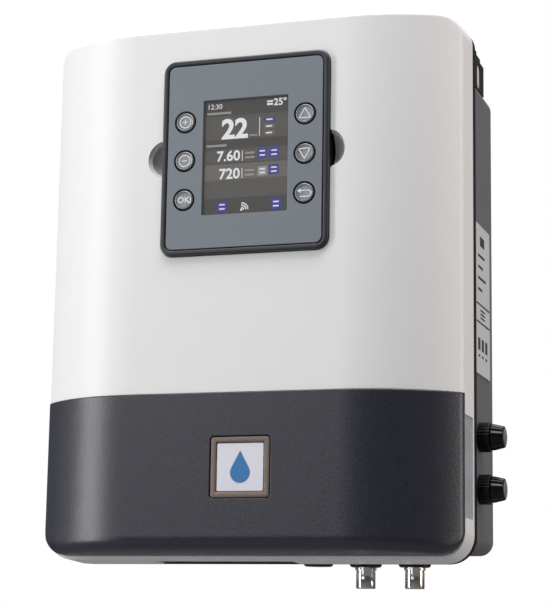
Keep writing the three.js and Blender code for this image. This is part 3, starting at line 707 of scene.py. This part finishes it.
def plan_slice(inset, rear, low, high):
    """A flat shelf whose front edge follows the plan of the cover."""
    half = COVER.x[1] - inset
    front = [(x, plan_depth(x, COVER.y[0] + inset, inset)) for x in spread(-half, half, 80)]
    outline = front + [(half, rear), (-half, rear)]
    return loft([[(x, y, z) for x, y in outline] for z in (low, high)])


def front_cover():
    shape = cover_shell(COVER.size[2] - TOP_RISE, (COVER_CORNER, COVER_TOP_CORNER), COVER.y[0], COVER.y[1],
                        (TOP_FILLET, TOP_FILLET), BOTTOM_DRAFT, 0.0, TOP_RISE)
    cover = build("front_cover_form", shape)
    ahead, beyond = COVER.y[0] - 6, COVER.x[1] + 5
    bay_top = TERMINAL.z[1] + FACE_GAP
    combine(cover, "UNION", plan_slice(0.8, -62, bay_top, bay_top + WALL))
    entry = Box("cable_entry_strip")
    window = plate(lambda margin: display_outline(FACE_GAP - margin), [(0, COVER.y[0] + 6), (0, ahead)])
    bay = block((-beyond, beyond), (ahead, TERMINAL.y[1] + FACE_GAP), (COVER.z[0] - 9, bay_top))
    mouth = block((entry.x[0] - FACE_GAP, entry.x[1] + FACE_GAP), (entry.y[0] - FACE_GAP, COVER.y[1] + 1),
                  (COVER.z[0] - 5, COVER.z[0] + 6))
    combine(cover, "DIFFERENCE", bay, window, *scoop_cutters(ahead), mouth, *inset_recesses(beyond))
    soften(cover, 0.45)
    dress(cover, "white_plastic", "enclosure", "front_cover")


def scoop_cutters(ahead):
    """The finger holes beside the display, whose rims flare towards the front."""
    flare, face, behind = 1.4, COVER.y[0], COVER.y[0] + 6
    narrow = SCOOP_RADIUS - flare
    throat = [(0, behind), (narrow, behind), (narrow, face + WALL)]
    rim = [(SCOOP_RADIUS - flare * t**2, face + WALL * t) for t in spread(1.0, 0.0, 6)]
    profile = throat + rim[1:] + [(SCOOP_RADIUS, ahead), (0, ahead)]
    return [turned("y", profile, (x, 0, z), 64) for x, z in scoop_centres()]


def inset_recesses(beyond):
    """Shallow recesses in the cover's sides, a little larger than the insets."""
    inset, margin = Box("side_inset_right"), 0.1
    y = (inset.y[0] - 1, inset.y[1] + margin)
    z = (inset.z[0] - margin, inset.z[1] + margin)
    return [block(sorted((side * (inset.x[0] - 0.4), side * beyond)), y, z) for side in (-1, 1)]


def terminal_cover():
    top = TERMINAL.z[1]
    height = 2 * (top - TERMINAL.z[0])
    shape = cover_shell(height, (TERMINAL_CORNER, TERMINAL_CORNER), TERMINAL.y[0], COVER.y[1],
                        (BOTTOM_FILLET, 1.0), BOTTOM_DRAFT * 2, top)
    cover = build("terminal_cover_form", shape)
    far = COVER.x[1] + 9
    keep_zone = block((-far, far), (TERMINAL.y[0] - 6, TERMINAL.y[1]), (TERMINAL.z[0] - 9, top))
    combine(cover, "INTERSECT", keep_zone)
    seat = plate(lambda margin: rounded(BADGE.x, BADGE.z, BADGE_CORNER, margin - 0.4, 6),
                 [(0, TERMINAL.y[0] + 1.6), (0, TERMINAL.y[0] - 5)])
    combine(cover, "DIFFERENCE", seat)
    soften(cover, 0.5)
    dress(cover, "charcoal_plastic", "terminal_cover", "terminal_cover")


# ---- housing and trims


def cover_outline(inset):
    return rounded(COVER.x, COVER.z, COVER_CORNER, inset, 14, COVER_TOP_CORNER)


def housing_outline(inset):
    half = HOUSING_HALF_WIDTH
    return rounded((-half, half), (HOUSING_FLOOR, HOUSING_ROOF), HOUSING_CORNER, inset, 14)


def rear_housing():
    flange = plate(lambda inset: cover_outline(inset + FLANGE_INSET), [(0, FLANGE_BACK), (0, HOUSING.y[0])])
    shell = build("rear_housing_form", flange)
    edge, step = 1.0, 1.4
    wall = [(edge, 0.0), (edge * 0.3, -0.3 * edge), (0.0, -edge), (0.0, FLANGE_BACK), (step, FLANGE_BACK),
            (step, FLANGE_BACK - 1)]
    combine(shell, "UNION", plate(housing_outline, wall))
    cavity = plate(lambda inset: housing_outline(inset + WALL), [(0, -WALL), (0, HOUSING.y[0] - 1)])
    combine(shell, "DIFFERENCE", cavity, *housing_holes())
    combine(shell, "UNION", *housing_posts())
    soften(shell, 0.4)
    dress(shell, "housing_grey", "enclosure", "rear_housing")


def rod(axis, radius, ends, centre, segments=40):
    low, high = ends
    return turned(axis, [(0, low), (radius, low), (radius, high), (0, high)], centre, segments)


def gland_rods(low, high):
    """What cuts the holes for the plug and the two jacks."""
    return [rod("z", GLAND_BORE, (low, high), Box(node).mid) for node in GLAND_NODES]


def housing_holes():
    """Fuse holes in the side, gland holes in the floor and keyholes in the back."""
    side = (HOUSING_HALF_WIDTH - 6, HOUSING_HALF_WIDTH + 6)
    holes = [rod("x", 6.5, side, Box(f"fuse_link_{i}").mid) for i in FUSES]
    holes += gland_rods(HOUSING_FLOOR - 3, HOUSING_FLOOR + 5)
    for x, z in ((-70, 84), (70, 84), (0, -108)):
        holes.append(rod("y", 4.2, (-4.5, 1), (x, 0, z)))
        holes.append(block((x - 2.2, x + 2.2), (-4.5, 1), (z, z + 9)))
    return holes


def housing_posts():
    """Hollow posts under the board screws, and the transformer's boss."""
    posts = []
    for i in range(1, 5):
        centre = Box(f"board_screw_{i}").mid
        back, front = -WALL + 0.5, BOARD.y[1] + FACE_GAP
        profile = [(3.5, back), (3.5, front), (1.9, front), (1.9, back), (3.5, back)]
        posts.append(turned("y", profile, centre, 32))
    centre = Box("power_transformer").mid
    profile = [(8, -WALL + 0.5), (8, -9.5), (3.4, -9.5), (3.4, -WALL + 0.5), (8, -WALL + 0.5)]
    posts.append(turned("y", profile, centre, 40))
    return posts


def seal_frame():
    front, back = SEAL.y
    lip = 0.8
    edge, skirt, rebate = 0.2, 2.0, HOUSING.y[0] - FACE_GAP
    profile = [
        (edge, back), (edge, front + lip), (edge + 0.3, front + lip * 0.3), (edge + 1, front),
        (4.6, front), (4.6, rebate), (skirt, rebate), (skirt, back),
    ]
    # The seal's near-black is partly its own colour and partly painted shade for the shadow gap between cover
    # and housing.
    seal = build("seal_frame_form", frame_band(cover_outline, profile))
    smooth(seal)
    dress(seal, "seal_black", "enclosure", "seal_frame")


def side_insets():
    for side in ("left", "right"):
        node = f"side_inset_{side}"
        box = Box(node)
        inset = build(f"{node}_form", block(box.x, box.y, box.z))
        soften(inset, 0.25)
        dress(inset, "inset_grey", "enclosure", node)


def cable_entry():
    box = Box("cable_entry_strip")
    strip = build("cable_entry_strip_form", block(box.x, box.y, box.z))
    pitch = box.size[0] / 3
    dimples = [
        rod("z", 4, (box.z[0] - 1, box.z[0] + 1.2), (box.x[0] + pitch * (i + 0.5), box.mid[1], 0))
        for i in range(3)
    ]
    combine(strip, "DIFFERENCE", *dimples)
    soften(strip, 0.3)
    dress(strip, "entry_rubber", "enclosure", "cable_entry_strip")


def rating_label():
    """A silver label whose print is plain bars and rules."""
    x = LABEL.x[1]
    width, height = LABEL.size[1], LABEL.size[2]
    parts = [(block((LABEL.x[0], x), LABEL.y, LABEL.z), "label_silver")]

    def printed(left, right, low, high):
        y = (LABEL.y[0] + left * width, LABEL.y[0] + right * width)
        z = (LABEL.z[1] - high * height, LABEL.z[1] - low * height)
        parts.append((block((x, x + 0.04), y, z), "label_ink"))

    printed(0.28, 0.6, 0.075, 0.14)
    for row, (left, right) in enumerate([(0.14, 0.62), (0.14, 0.5), (0.14, 0.7), (0.14, 0.44)]):
        printed(left, right, 0.2 + row * 0.075, 0.218 + row * 0.075)
    for rule in (0.53, 0.65):
        printed(0.02, 0.98, rule, rule + 0.012)
    for row in range(3):
        printed(0.3, 0.62, 0.565 + row * 0.025, 0.577 + row * 0.025)
    for column in range(3):
        printed(0.12 + column * 0.26, 0.28 + column * 0.26, 0.76, 0.84)
        printed(0.14 + column * 0.26, 0.26 + column * 0.26, 0.87, 0.885)
    several("rating_label_form", parts, "enclosure", "rating_label")


# ---- badge


def drop_outline(centre_x, centre_z, radius, steps=40):
    """A plain water drop: a round bowl that rises to a point."""
    tip = 2.1 * radius
    tangent = math.asin(radius / tip)
    points = [(centre_x, centre_z + tip)]
    sweep = TURN - 2 * (QUARTER - tangent)
    for i in range(steps + 1):
        angle = math.pi - tangent + sweep * i / steps
        points.append((centre_x + radius * math.cos(angle), centre_z + radius * math.sin(angle)))
    return points


def badge():
    x, z = BADGE.x, BADGE.z
    front, back = BADGE.y
    rim = BADGE_PLATE.x[0] - BADGE.x[0] - FACE_GAP
    profile = [
        (0, back), (0, front + 0.3), (0.1, front + 0.08), (0.35, front), (rim - 0.45, front),
        (rim - 0.15, front + 0.12), (rim, front + 0.4), (rim, back),
    ]
    band = build("badge_frame_form", frame_band(lambda inset: rounded(x, z, BADGE_CORNER, inset, 8), profile))
    smooth(band, 50)
    dress(band, "badge_taupe", "terminal_cover", "badge_frame")
    plate_front = BADGE_PLATE.y[0]
    field = plate(lambda inset: rounded(BADGE_PLATE.x, BADGE_PLATE.z, 0.6, inset, 6),
                  [(0, BADGE_PLATE.y[1]), (0, plate_front + 0.15), (0.15, plate_front)])
    outline = drop_outline(BADGE_PLATE.mid[0], BADGE_PLATE.mid[2] - 2.6, 5.0)
    mark = loft([[(a, depth, b) for a, b in outline] for depth in (plate_front + 0.1, plate_front - 0.12)])
    several("badge_plate_form", [(field, "badge_face"), (mark, "badge_drop")], "terminal_cover",
            "badge_plate")


# ---- display


def display_tray():
    wall = 1.3
    front, back = TRAY.y
    depth = COVER.y[0] + SCOOP_DEPTH - front
    outer = plate(lambda inset: display_outline(0.5 + wall - inset), [(0, back - 0.01), (0, front)])
    tray = build("display_tray_form", outer)
    dishes, hollows = [], []
    for x, z in scoop_centres():
        dishes.append(dish(x, z, front, SCOOP_RADIUS + wall, depth + wall, 0))
        hollows.append(dish(x, z, front, SCOOP_RADIUS, depth, 1))
    combine(tray, "UNION", *dishes)
    floor = back - wall
    pocket = plate(lambda inset: display_outline(0.5 - inset), [(0, floor), (0, front - 3)])
    combine(tray, "DIFFERENCE", pocket, *hollows)
    soften(tray, 0.3)
    dress(tray, "tray_grey", "enclosure", "display_tray")


def dish(x, z, front, radius, depth, lead):
    """A bowl-shaped finger scoop, closed at a distance lead ahead of its rim."""
    steps = 14
    angles = [QUARTER * i / steps for i in range(steps)]
    bowl = [(radius * math.sin(angle), front + depth * math.cos(angle) ** 2) for angle in angles]
    return turned("y", bowl + [(radius, front), (radius, front - lead), (0, front - lead)], (x, 0, z), 64)


def display_back():
    back = MODULE.y[1]
    profile = [(2.2, back), (0.4, back), (0, back - 1.2), (0, MODULE.y[0])]
    shell = build("display_back_form", plate(lambda inset: display_outline(-0.4 - inset), profile))
    cavity = plate(lambda inset: display_outline(-2.2 - inset), [(0, back - 1.8), (0, MODULE.y[0] - 1)])
    combine(shell, "DIFFERENCE", cavity)
    soften(shell, 0.2)
    dress(shell, "seal_black", "display_module", "display_back")


def display_bezel():
    front, back = BEZEL.y
    rim = 2.9
    profile = [
        (0.1, back), (0, back - 0.3), (0, front + 1.1), (0.12, front + 0.55), (0.4, front + 0.22),
        (0.85, front), (2.1, front), (2.45, front + 0.12), (2.7, front + 0.45), (rim, front + 0.9),
        (rim, back),
    ]
    bezel = build("display_bezel_form", frame_band(lambda inset: display_outline(-inset), profile))
    smooth(bezel, 50)
    dress(bezel, "slate_plastic", "display_module", "display_bezel")


def key_panel():
    front, back = PANEL.y
    margin = PANEL.x[0] - BEZEL.x[0]
    profile = [(0, back), (0, front + 0.25), (0.08, front + 0.07), (0.25, front)]
    panel = build("key_panel_form", plate(lambda inset: display_outline(-margin - inset), profile))
    opening = plate(lambda inset: rounded(WINDOW.x, WINDOW.z, 0.6, inset - 0.3, 5),
                    [(0, back + 1), (0, front - 1)])
    holes = [rod("y", 5.75, (front - 1, back + 1), Box(key).mid, 64) for key in KEYS]
    combine(panel, "DIFFERENCE", opening, *holes)
    soften(panel, 0.18, 2)
    dress(panel, "panel_grey", "display_module", "key_panel")


def key_cap(key):
    """A round key: a raised rim round a shallow dish, on a black flange and stem; their black is painted
    shade for the gap round the key.
    """
    box = Box(key)
    crown, base = box.y[0], PANEL.y[1] + 0.5
    dish_depth, radius, flange = 0.42, 4.8, 6.25
    face = [(0, crown + dish_depth)]
    face += [(r, crown + dish_depth - 0.2 * (r / 3.7) ** 2) for r in spread(0.6, 3.5, 6)]
    face += [(3.9, crown + 0.1), (4.15, crown), (4.4, crown + 0.04), (4.62, crown + 0.2)]
    face += [(4.75, crown + 0.42), (radius, crown + 0.75), (radius, crown + 1.1), (0, crown + 1.1)]
    stem = [(0, crown + 1.1), (radius, crown + 1.1), (radius, base), (flange, base), (flange, base + 0.7),
            (1.8, base + 0.7), (1.8, box.y[1]), (0, box.y[1])]
    # The stem and flange take the near-black finish as painted shade: it darkens the gap round the key like a
    # shadow.
    parts = [(turned("y", face, box.mid, 72), "key_grey"), (turned("y", stem, box.mid, 72), "seal_black")]
    several(f"{key}_form", parts, key, key)


def stroke(start, end, width):
    """A straight stroke from start to end as an outline in (x, z)."""
    along = Vector((end[0] - start[0], end[1] - start[1])).normalized()
    side = Vector((-along.y, along.x)) * width / 2
    corners = [Vector(start) + side, Vector(start) - side, Vector(end) - side, Vector(end) + side]
    return [(c.x, c.y) for c in corners]


def thin(outline, front, depth=0.12):
    """A flat mark of an outline in (x, z), whose face is at front."""
    return loft([[(x, y, z) for x, z in outline] for y in (front + depth, front)])


def hoop(x, z, radius, width, front, start=0.0, sweep=TURN, depth=0.12):
    """A flat ring or arc."""
    steps = max(8, int(40 * sweep / TURN))
    outer, inner = radius + width / 2, radius - width / 2
    if sweep < TURN:
        angles = spread(start, start + sweep, steps)
        outline = [(x + outer * math.cos(a), z + outer * math.sin(a)) for a in angles]
        outline += [(x + inner * math.cos(a), z + inner * math.sin(a)) for a in reversed(angles)]
        return thin(outline, front, depth)
    profile = [(outer, front), (outer, front + depth), (inner, front + depth), (inner, front), (outer, front)]
    return turned("y", profile, (x, 0, z), 48)


def lettering(text, height, x, z, front, weight=0.0, anchor="LEFT", depth=0.05):
    """Digits or letters of the built-in font, as a mesh standing on z."""
    curve = bpy.data.curves.new("lettering", "FONT")
    curve.body = text
    curve.size = height / 0.7
    curve.offset = weight * height
    curve.extrude = depth / 2
    curve.align_x = anchor
    curve.resolution_u = 4
    carrier = bpy.data.objects.new("lettering", curve)
    bpy.context.scene.collection.objects.link(carrier)
    mesh = carrier.evaluated_get(bpy.context.evaluated_depsgraph_get()).to_mesh()
    vertices = [(x + v.co.x, front + depth / 2 - v.co.z, z + v.co.y) for v in mesh.vertices]
    faces = [tuple(p.vertices) for p in mesh.polygons]
    bpy.data.objects.remove(carrier)
    return vertices, faces


def key_symbols():
    """The white marks on the keys."""
    for key in KEYS:
        box = Box(key)
        mark = build(f"{key}_mark", merged(*key_mark(key, box.mid[0], box.mid[2], box.y[0] + 0.2)))
        smooth(mark)
        dress(mark, "key_print", key)


def key_mark(key, x, z, face):
    line = MARK_WIDTH
    if key in ("key_plus", "key_minus"):
        arm = 1.4
        parts = [hoop(x, z, 2.9, line, face), thin(stroke((x - arm, z), (x + arm, z), line), face)]
        if key == "key_plus":
            parts.append(thin(stroke((x, z - arm), (x, z + arm), line), face - 0.01))
        return parts
    if key == "key_ok":
        return [lettering("OK", 3.1, x, z - 1.55, face, 0.02, "CENTER", 0.12)]
    if key in ("key_up", "key_down"):
        way = 1 if key == "key_up" else -1
        tips = [(x, z + way * 2.9), (x - 3.0, z - way * 2.2), (x + 3.0, z - way * 2.2)]
        return [thin(stroke(tips[i], tips[(i + 1) % 3], line), face - 0.004 * i) for i in range(3)]
    reach, rise, bend = 3.7, 1.0, 1.5
    head = [(x - reach, z + rise), (x - reach + 2.1, z + rise + 1.2), (x - reach + 2.1, z + rise - 1.2)]
    low = z + rise - 2 * bend
    return [
        thin(head, face),
        thin(stroke((x - reach + 1.9, z + rise), (x + 2, z + rise), line), face - 0.004),
        hoop(x + 2, z + rise - bend, bend, line, face, -QUARTER, math.pi),
        thin(stroke((x + 2, low), (x - 2, low), line), face - 0.008),
    ]


def lcd():
    glass = build("lcd_window_form", plate(lambda inset: rounded(WINDOW.x, WINDOW.z, 0.4, inset, 4),
                                           [(0, WINDOW.y[1]), (0, WINDOW.y[0] + 0.1), (0.1, WINDOW.y[0])]))
    smooth(glass)
    dress(glass, "window_glass", "display_module", "lcd_window")
    several("lcd_panel_form", screen_parts(), "display_module", "lcd_panel")


def screen_parts():
    """The lit screen: bands, figures, bars for labels and small tiles."""
    left, right = WINDOW.x[0] + 0.4, WINDOW.x[1] - 0.4
    low, high = WINDOW.z[0] + 0.4, WINDOW.z[1] - 0.4
    width, height = right - left, high - low
    face = LCD.y[0]
    parts = [(block(LCD.x, (face, LCD.y[1]), LCD.z), "screen_dark")]

    def at(u, v):
        return left + u * width, high - v * height

    def bar(u0, v0, u1, v1, finish, lift=0.1):
        (x0, z1), (x1, z0) = at(u0, v0), at(u1, v1)
        parts.append((block((x0, x1), (face - lift, face + 0.05), (z0, z1)), finish))

    def figure(text, u, v, tall, anchor="LEFT", weight=0.02, finish="screen_white"):
        x, z = at(u, v)
        parts.append((lettering(text, tall * height, x, z, face - 0.2, weight, anchor), finish))

    bands = [(0.13, 0.345, "screen_mid"), (0.43, 0.552, "screen_mid"), (0.56, 0.702, "screen_light"),
             (0.702, 0.862, "screen_mid")]
    for top, bottom, finish in bands:
        bar(0, top, 1, bottom, finish)
    figure("12:30", 0.015, 0.062, 0.044, weight=0)
    figure("25°", 0.985, 0.066, 0.06, "RIGHT", 0.03)
    for top, bottom in ((0.02, 0.034), (0.044, 0.06)):
        bar(0.745, top, 0.815, bottom, "screen_white", 0.2)
    bar(0.015, 0.093, 0.31, 0.112, "screen_grey", 0.2)
    bar(0.015, 0.383, 0.26, 0.402, "screen_grey", 0.2)
    figure("22", 0.52, 0.332, 0.17, "RIGHT", 0.045)
    bar(0.54, 0.312, 0.63, 0.325, "screen_grey", 0.2)
    bar(0.655, 0.165, 0.662, 0.328, "screen_white", 0.2)
    figure("7.60", 0.43, 0.532, 0.088, "RIGHT", 0.03)
    figure("720", 0.43, 0.692, 0.09, "RIGHT", 0.03)
    for top in (0.45, 0.605):
        bar(0.452, top, 0.459, top + 0.09, "screen_white", 0.2)
        for row in (0.015, 0.055):
            bar(0.49, top + row, 0.6, top + row + 0.016, "screen_grey", 0.2)
    tiles = [
        (0.71, 0.168, 0.845, 0.208, "screen_blue"), (0.71, 0.228, 0.84, 0.268, "screen_light"),
        (0.71, 0.287, 0.84, 0.327, "screen_light"), (0.64, 0.437, 0.755, 0.53, "screen_blue"),
        (0.78, 0.437, 0.9, 0.53, "screen_blue"), (0.645, 0.6, 0.755, 0.682, "screen_grey"),
        (0.78, 0.59, 0.9, 0.678, "screen_blue"), (0.16, 0.892, 0.28, 0.985, "screen_blue"),
        (0.81, 0.892, 0.93, 0.985, "screen_blue"),
    ]
    for u0, v0, u1, v1, finish in tiles:
        bar(u0, v0, u1, v1, finish, 0.15)
        middle, reach = (u0 + u1) / 2, (u1 - u0) * 0.28
        rows = (0.3, 0.7) if v1 - v0 > 0.06 else (0.5,)
        for row in rows:
            v = v0 + (v1 - v0) * row
            bar(middle - reach, v - 0.006, middle + reach, v + 0.006, "screen_white", 0.2)
    x, z = at(0.455, 0.972)
    for radius in (1.2, 2.3, 3.4):
        parts.append((hoop(x, z, radius, 0.55, face - 0.2, 0.0, QUARTER, 0.2), "screen_white"))
    parts.append((rod("y", 0.6, (face - 0.2, face), (x, 0, z), 24), "screen_white"))
    return parts


# ---- fittings


def fluted(centre, stations, teeth, depth, samples=6):
    """A fluted body along X. stations lists (x, outer radius)."""
    count = teeth * samples
    rings = []
    for x, radius in stations:
        ring = []
        for i in range(count):
            phase = (i % samples) / samples
            dip = depth * (1 if phase < 0.34 else 0)
            angle = TURN * i / count
            reach = radius - dip
            ring.append((x, centre[1] + reach * math.cos(angle), centre[2] + reach * math.sin(angle)))
        rings.append(ring)
    return loft(rings)


def fuse_holder(number):
    node = f"fuse_holder_{number}"
    box = Box(node)
    centre = Box(f"fuse_link_{number}").mid
    start, end = LABEL.x[0], box.x[1]
    stations = [(start, 7.3), (start + 0.4, 7.45), (end - 0.4, 7.45), (end, 7.2)]
    collar = build(f"{node}_form", fluted(centre, stations, 28, 0.25))
    inner_end = box.x[0] + 6
    combine(collar, "UNION", rod("x", 6.05, (inner_end, start + 1), centre),
            rod("x", 2, (box.x[0], inner_end + 1), centre))
    combine(collar, "DIFFERENCE", rod("x", 3.3, (inner_end + 2.5, end + 1), centre))
    soften(collar, 0.15, 2, 45)
    dress(collar, "fitting_black", "enclosure", node)


def fuse_cap(number):
    node = f"fuse_cap_{number}"
    box = Box(node)
    centre = Box(f"fuse_link_{number}").mid
    start, end = Box(f"fuse_holder_{number}").x[1] + FACE_GAP, box.x[1]
    stations = [(start, 6.5), (start + 0.2, 6.7), (start + 1.2, 6.65), (end - 1.6, 5.6), (end - 0.9, 5.35),
                (end - 0.6, 4.9)]
    cap = build(f"{node}_form", fluted(centre, stations, 12, 0.4))
    combine(cap, "UNION", rod("x", 2.9, (box.x[0], start + 1), centre))
    soften(cap, 0.12, 2, 45)
    dress(cap, "fitting_black", f"fuse_cap_{number}", node)
    profile = [(0, end), (1.8, end - 0.05), (3.4, end - 0.22), (4.3, end - 0.5), (4.5, end - 0.75),
               (0, end - 0.75)]
    face = build(f"fuse_cap_face_{number}", turned("x", profile, centre, 48))
    smooth(face)
    dress(face, "cap_face", f"fuse_cap_{number}")


def fuse_link(number):
    node = f"fuse_link_{number}"
    box = Box(node)
    centre = box.mid
    ends = []
    for low, high in ((box.x[0], box.x[0] + 5.5), (box.x[1] - 5.5, box.x[1])):
        ends.append((rod("x", 2.6, (low, high), centre), "nickel"))
    tube = [(2.45, box.x[0] + 5), (2.45, box.x[1] - 5), (2.05, box.x[1] - 5), (2.05, box.x[0] + 5),
            (2.45, box.x[0] + 5)]
    parts = ends + [(turned("x", tube, centre, 40), "fuse_glass")]
    parts.append((rod("x", 0.12, (box.x[0] + 4, box.x[1] - 4), centre, 10), "steel"))
    several(f"{node}_form", parts, f"fuse_carrier_{number}", node)


def gland_plate():
    x, y = GLAND.x, GLAND.y
    radius = 5.0

    def outline(inset):
        corner = radius - inset
        points = [(x[0] + inset, y[0]), (x[1] - inset, y[0])]
        for centre, start in ((x[1] - radius, 0.0), (x[0] + radius, QUARTER)):
            for angle in spread(start, start + QUARTER, 12):
                points.append((centre + corner * math.cos(angle), y[1] - radius + corner * math.sin(angle)))
        return points

    levels = [(0.0, GLAND.z[1]), (0.0, GLAND.z[0] + 0.6), (0.18, GLAND.z[0] + 0.18), (0.6, GLAND.z[0])]
    body = loft([[(a, b, z) for a, b in outline(inset)] for inset, z in levels])
    gland = build("gland_plate_form", body)
    combine(gland, "DIFFERENCE", *gland_rods(GLAND.z[0] - 1, GLAND.z[1] + 1))
    soften(gland, 0.2, 2)
    dress(gland, "fitting_black", "enclosure", "gland_plate")


def round_fitting(node, profile, finish, segments=64, axis="z"):
    made = build(f"{node}_form", turned(axis, profile, Box(node).mid, segments))
    smooth(made)
    dress(made, finish, "enclosure", node)


def jacks():
    face = GLAND.z[0] - FACE_GAP
    top = HOUSING_FLOOR + WALL + 1
    plug = [
        (0, face - 1.25), (3.2, face - 1.3), (5.9, face - 1.5), (6.5, face - 1.48), (7.1, face - 1.15),
        (7.4, face - 0.6), (7.4, face), (5.1, face), (5.1, top), (0, top),
    ]
    round_fitting("blanking_plug", plug, "fitting_black")
    for number in ("1", "2"):
        collar = [
            (4.3, face), (4.3, face - 1.9), (6.6, face - 1.9), (7.3, face - 1.75), (7.8, face - 1.35),
            (8, face - 0.9), (8, face), (4.3, face),
        ]
        round_fitting(f"jack_collar_{number}", collar, "fitting_black")
        bayonet_jack(number)


def bayonet_jack(number):
    node = f"bayonet_jack_{number}"
    box = Box(node)
    mouth, tail = box.z
    shoulder = GLAND.z[0] - 2 * FACE_GAP - 1.9
    x, y, _ = box.mid
    barrel = [
        (0, shoulder - 1.4), (4.05, shoulder - 1.4), (4.05, mouth + 0.3), (4.2, mouth + 0.05), (4.45, mouth),
        (4.7, mouth + 0.08), (4.85, mouth + 0.35), (4.85, shoulder - 2.2), (4.75, shoulder - 2.1),
        (4.75, shoulder - 1.5), (4.85, shoulder - 1.4), (4.85, shoulder - 1), (5.4, shoulder - 1),
        (5.4, shoulder), (4, shoulder), (4, -112), (1.2, -112), (1.2, tail), (0, tail),
    ]
    parts = [(turned("z", barrel, (x, y, 0), 72), "nickel")]
    insulator = [(0, mouth + 2.4), (1.0, mouth + 2.4), (1.0, mouth + 1.4), (2.3, mouth + 2.0),
                 (2.3, shoulder - 1.4), (0, shoulder - 1.4)]
    parts.append((turned("z", insulator, (x, y, 0), 32), "badge_face"))
    for side in (-1, 1):
        lug = (y + side * 4.6, y + side * 5.5)
        parts.append((turned("y", [(0, lug[0]), (0.95, lug[0]), (0.95, lug[1] - side * 0.2), (0.75, lug[1]),
                                   (0, lug[1])], (x, 0, mouth + 5.2), 24), "nickel"))
    several(f"{node}_form", parts, "enclosure", node)


# ---- inside the housing


# CAD nodes whose shape is kept: their finish and the width of their softened edges
KEPT = {
    "main_board": ("board_green", 0.1),
    "display_board": ("board_green", 0.1),
    "power_terminals": ("terminal_green", 0.25),
    "signal_terminals": ("terminal_green", 0.25),
    "bridge_rectifier": ("seal_black", 0.3),
    "relay_1": ("relay_blue", 0.5),
    "relay_2": ("relay_blue", 0.5),
    "fuse_nut_1": ("fitting_black", 0.4),
    "fuse_nut_2": ("fitting_black", 0.4),
    "jack_nut_1": ("nickel", 0.3),
    "jack_nut_2": ("nickel", 0.3),
    "heat_sink": ("black_metal", 0.15),
}


def electronics():
    for node, (finish, bevel) in KEPT.items():
        keep(node, finish, bevel)
    hang_slots()
    capacitors()
    transformer()
    for number in range(1, 5):
        board_screw(number)


def hang_slots():
    """A pale patch in the slot of each end fin: painted light standing in for the backdrop seen through the
    slot.
    """
    sink = Box("heat_sink")
    radius, middle, low, high = 3.1, -19.0, 119.2, 125.6
    outline = [(radius * math.cos(a), high + radius * math.sin(a)) for a in spread(0, math.pi, 12)]
    outline += [(-y, low + high - z) for y, z in outline]
    for side, name in ((0, "left"), (1, "right")):
        inwards = 1 - 2 * side
        stations = (sink.x[side] + inwards * 0.3, sink.x[side] + inwards * 1.5)
        shape = loft([[(x, middle + y, z) for y, z in outline] for x in stations])
        painted_light_patch = build(f"hang_slot_{name}", shape)
        smooth(painted_light_patch)
        dress(painted_light_patch, "painted_slot_light", "enclosure")


def capacitors():
    for number in ("1", "2"):
        node = f"capacitor_{number}"
        box = Box(node)
        front, back = box.y
        profile = [
            (0, front + 0.6), (9.5, front + 0.6), (10.4, front + 0.35), (11, front), (11.8, front + 0.15),
            (12.35, front + 0.7), (12.5, front + 1.5), (12.5, back - 4.4), (12.0, back - 3.6),
            (11.7, back - 3.2), (12.0, back - 2.8), (12.5, back - 2), (12.5, back), (0, back),
        ]
        round_fitting(node, profile, "capacitor_sleeve", axis="y")


def transformer():
    box = Box("power_transformer")
    front, back = box.y
    inner, outer, soft = 9.0, 34.0, 6.0
    corners = [(outer - soft, back - soft, 0), (outer - soft, front + soft, 1),
               (inner + soft, front + soft, 2), (inner + soft, back - soft, 3)]
    profile = []
    for radius, station, corner in corners:
        for angle in spread(QUARTER * (1 - corner), -QUARTER * corner, 6):
            profile.append((radius + soft * math.cos(angle), station + soft * math.sin(angle)))
    profile.append(profile[0])
    round_fitting("power_transformer", profile, "copper_wrap", segments=96, axis="y")
    front = Box("transformer_bolt").y[0]
    bolt = [(0, front), (4.3, front), (5, front + 0.6), (5, front + 3.4), (20.5, front + 3.4),
            (22, front + 4.2), (22, front + 5.7), (3, front + 5.7), (3, -5), (0, -5)]
    round_fitting("transformer_bolt", bolt, "steel", axis="y")


def board_screw(number):
    node = f"board_screw_{number}"
    box = Box(node)
    head = box.y[0] + 2
    profile = [(0, head - 1.5), (0.9, head - 1.5), (1.1, head - 2), (1.9, head - 1.95), (2.6, head - 1.4),
               (3, head - 0.6), (3, head), (1.5, head), (1.5, box.y[1]), (0, box.y[1])]
    round_fitting(node, profile, "steel", axis="y", segments=40)


# ---- assembly

add_camera()
FINISHES = make_materials()
add_lights()
add_world()
add_floor()
bpy.context.scene.view_settings.view_transform = "Standard"

front_cover()
terminal_cover()
rear_housing()
seal_frame()
side_insets()
cable_entry()
rating_label()
badge()
display_tray()
display_back()
display_bezel()
key_panel()
for key_name in KEYS:
    key_cap(key_name)
key_symbols()
lcd()
for fuse_number in FUSES:
    fuse_holder(fuse_number)
    fuse_cap(fuse_number)
    fuse_link(fuse_number)
gland_plate()
jacks()
electronics()
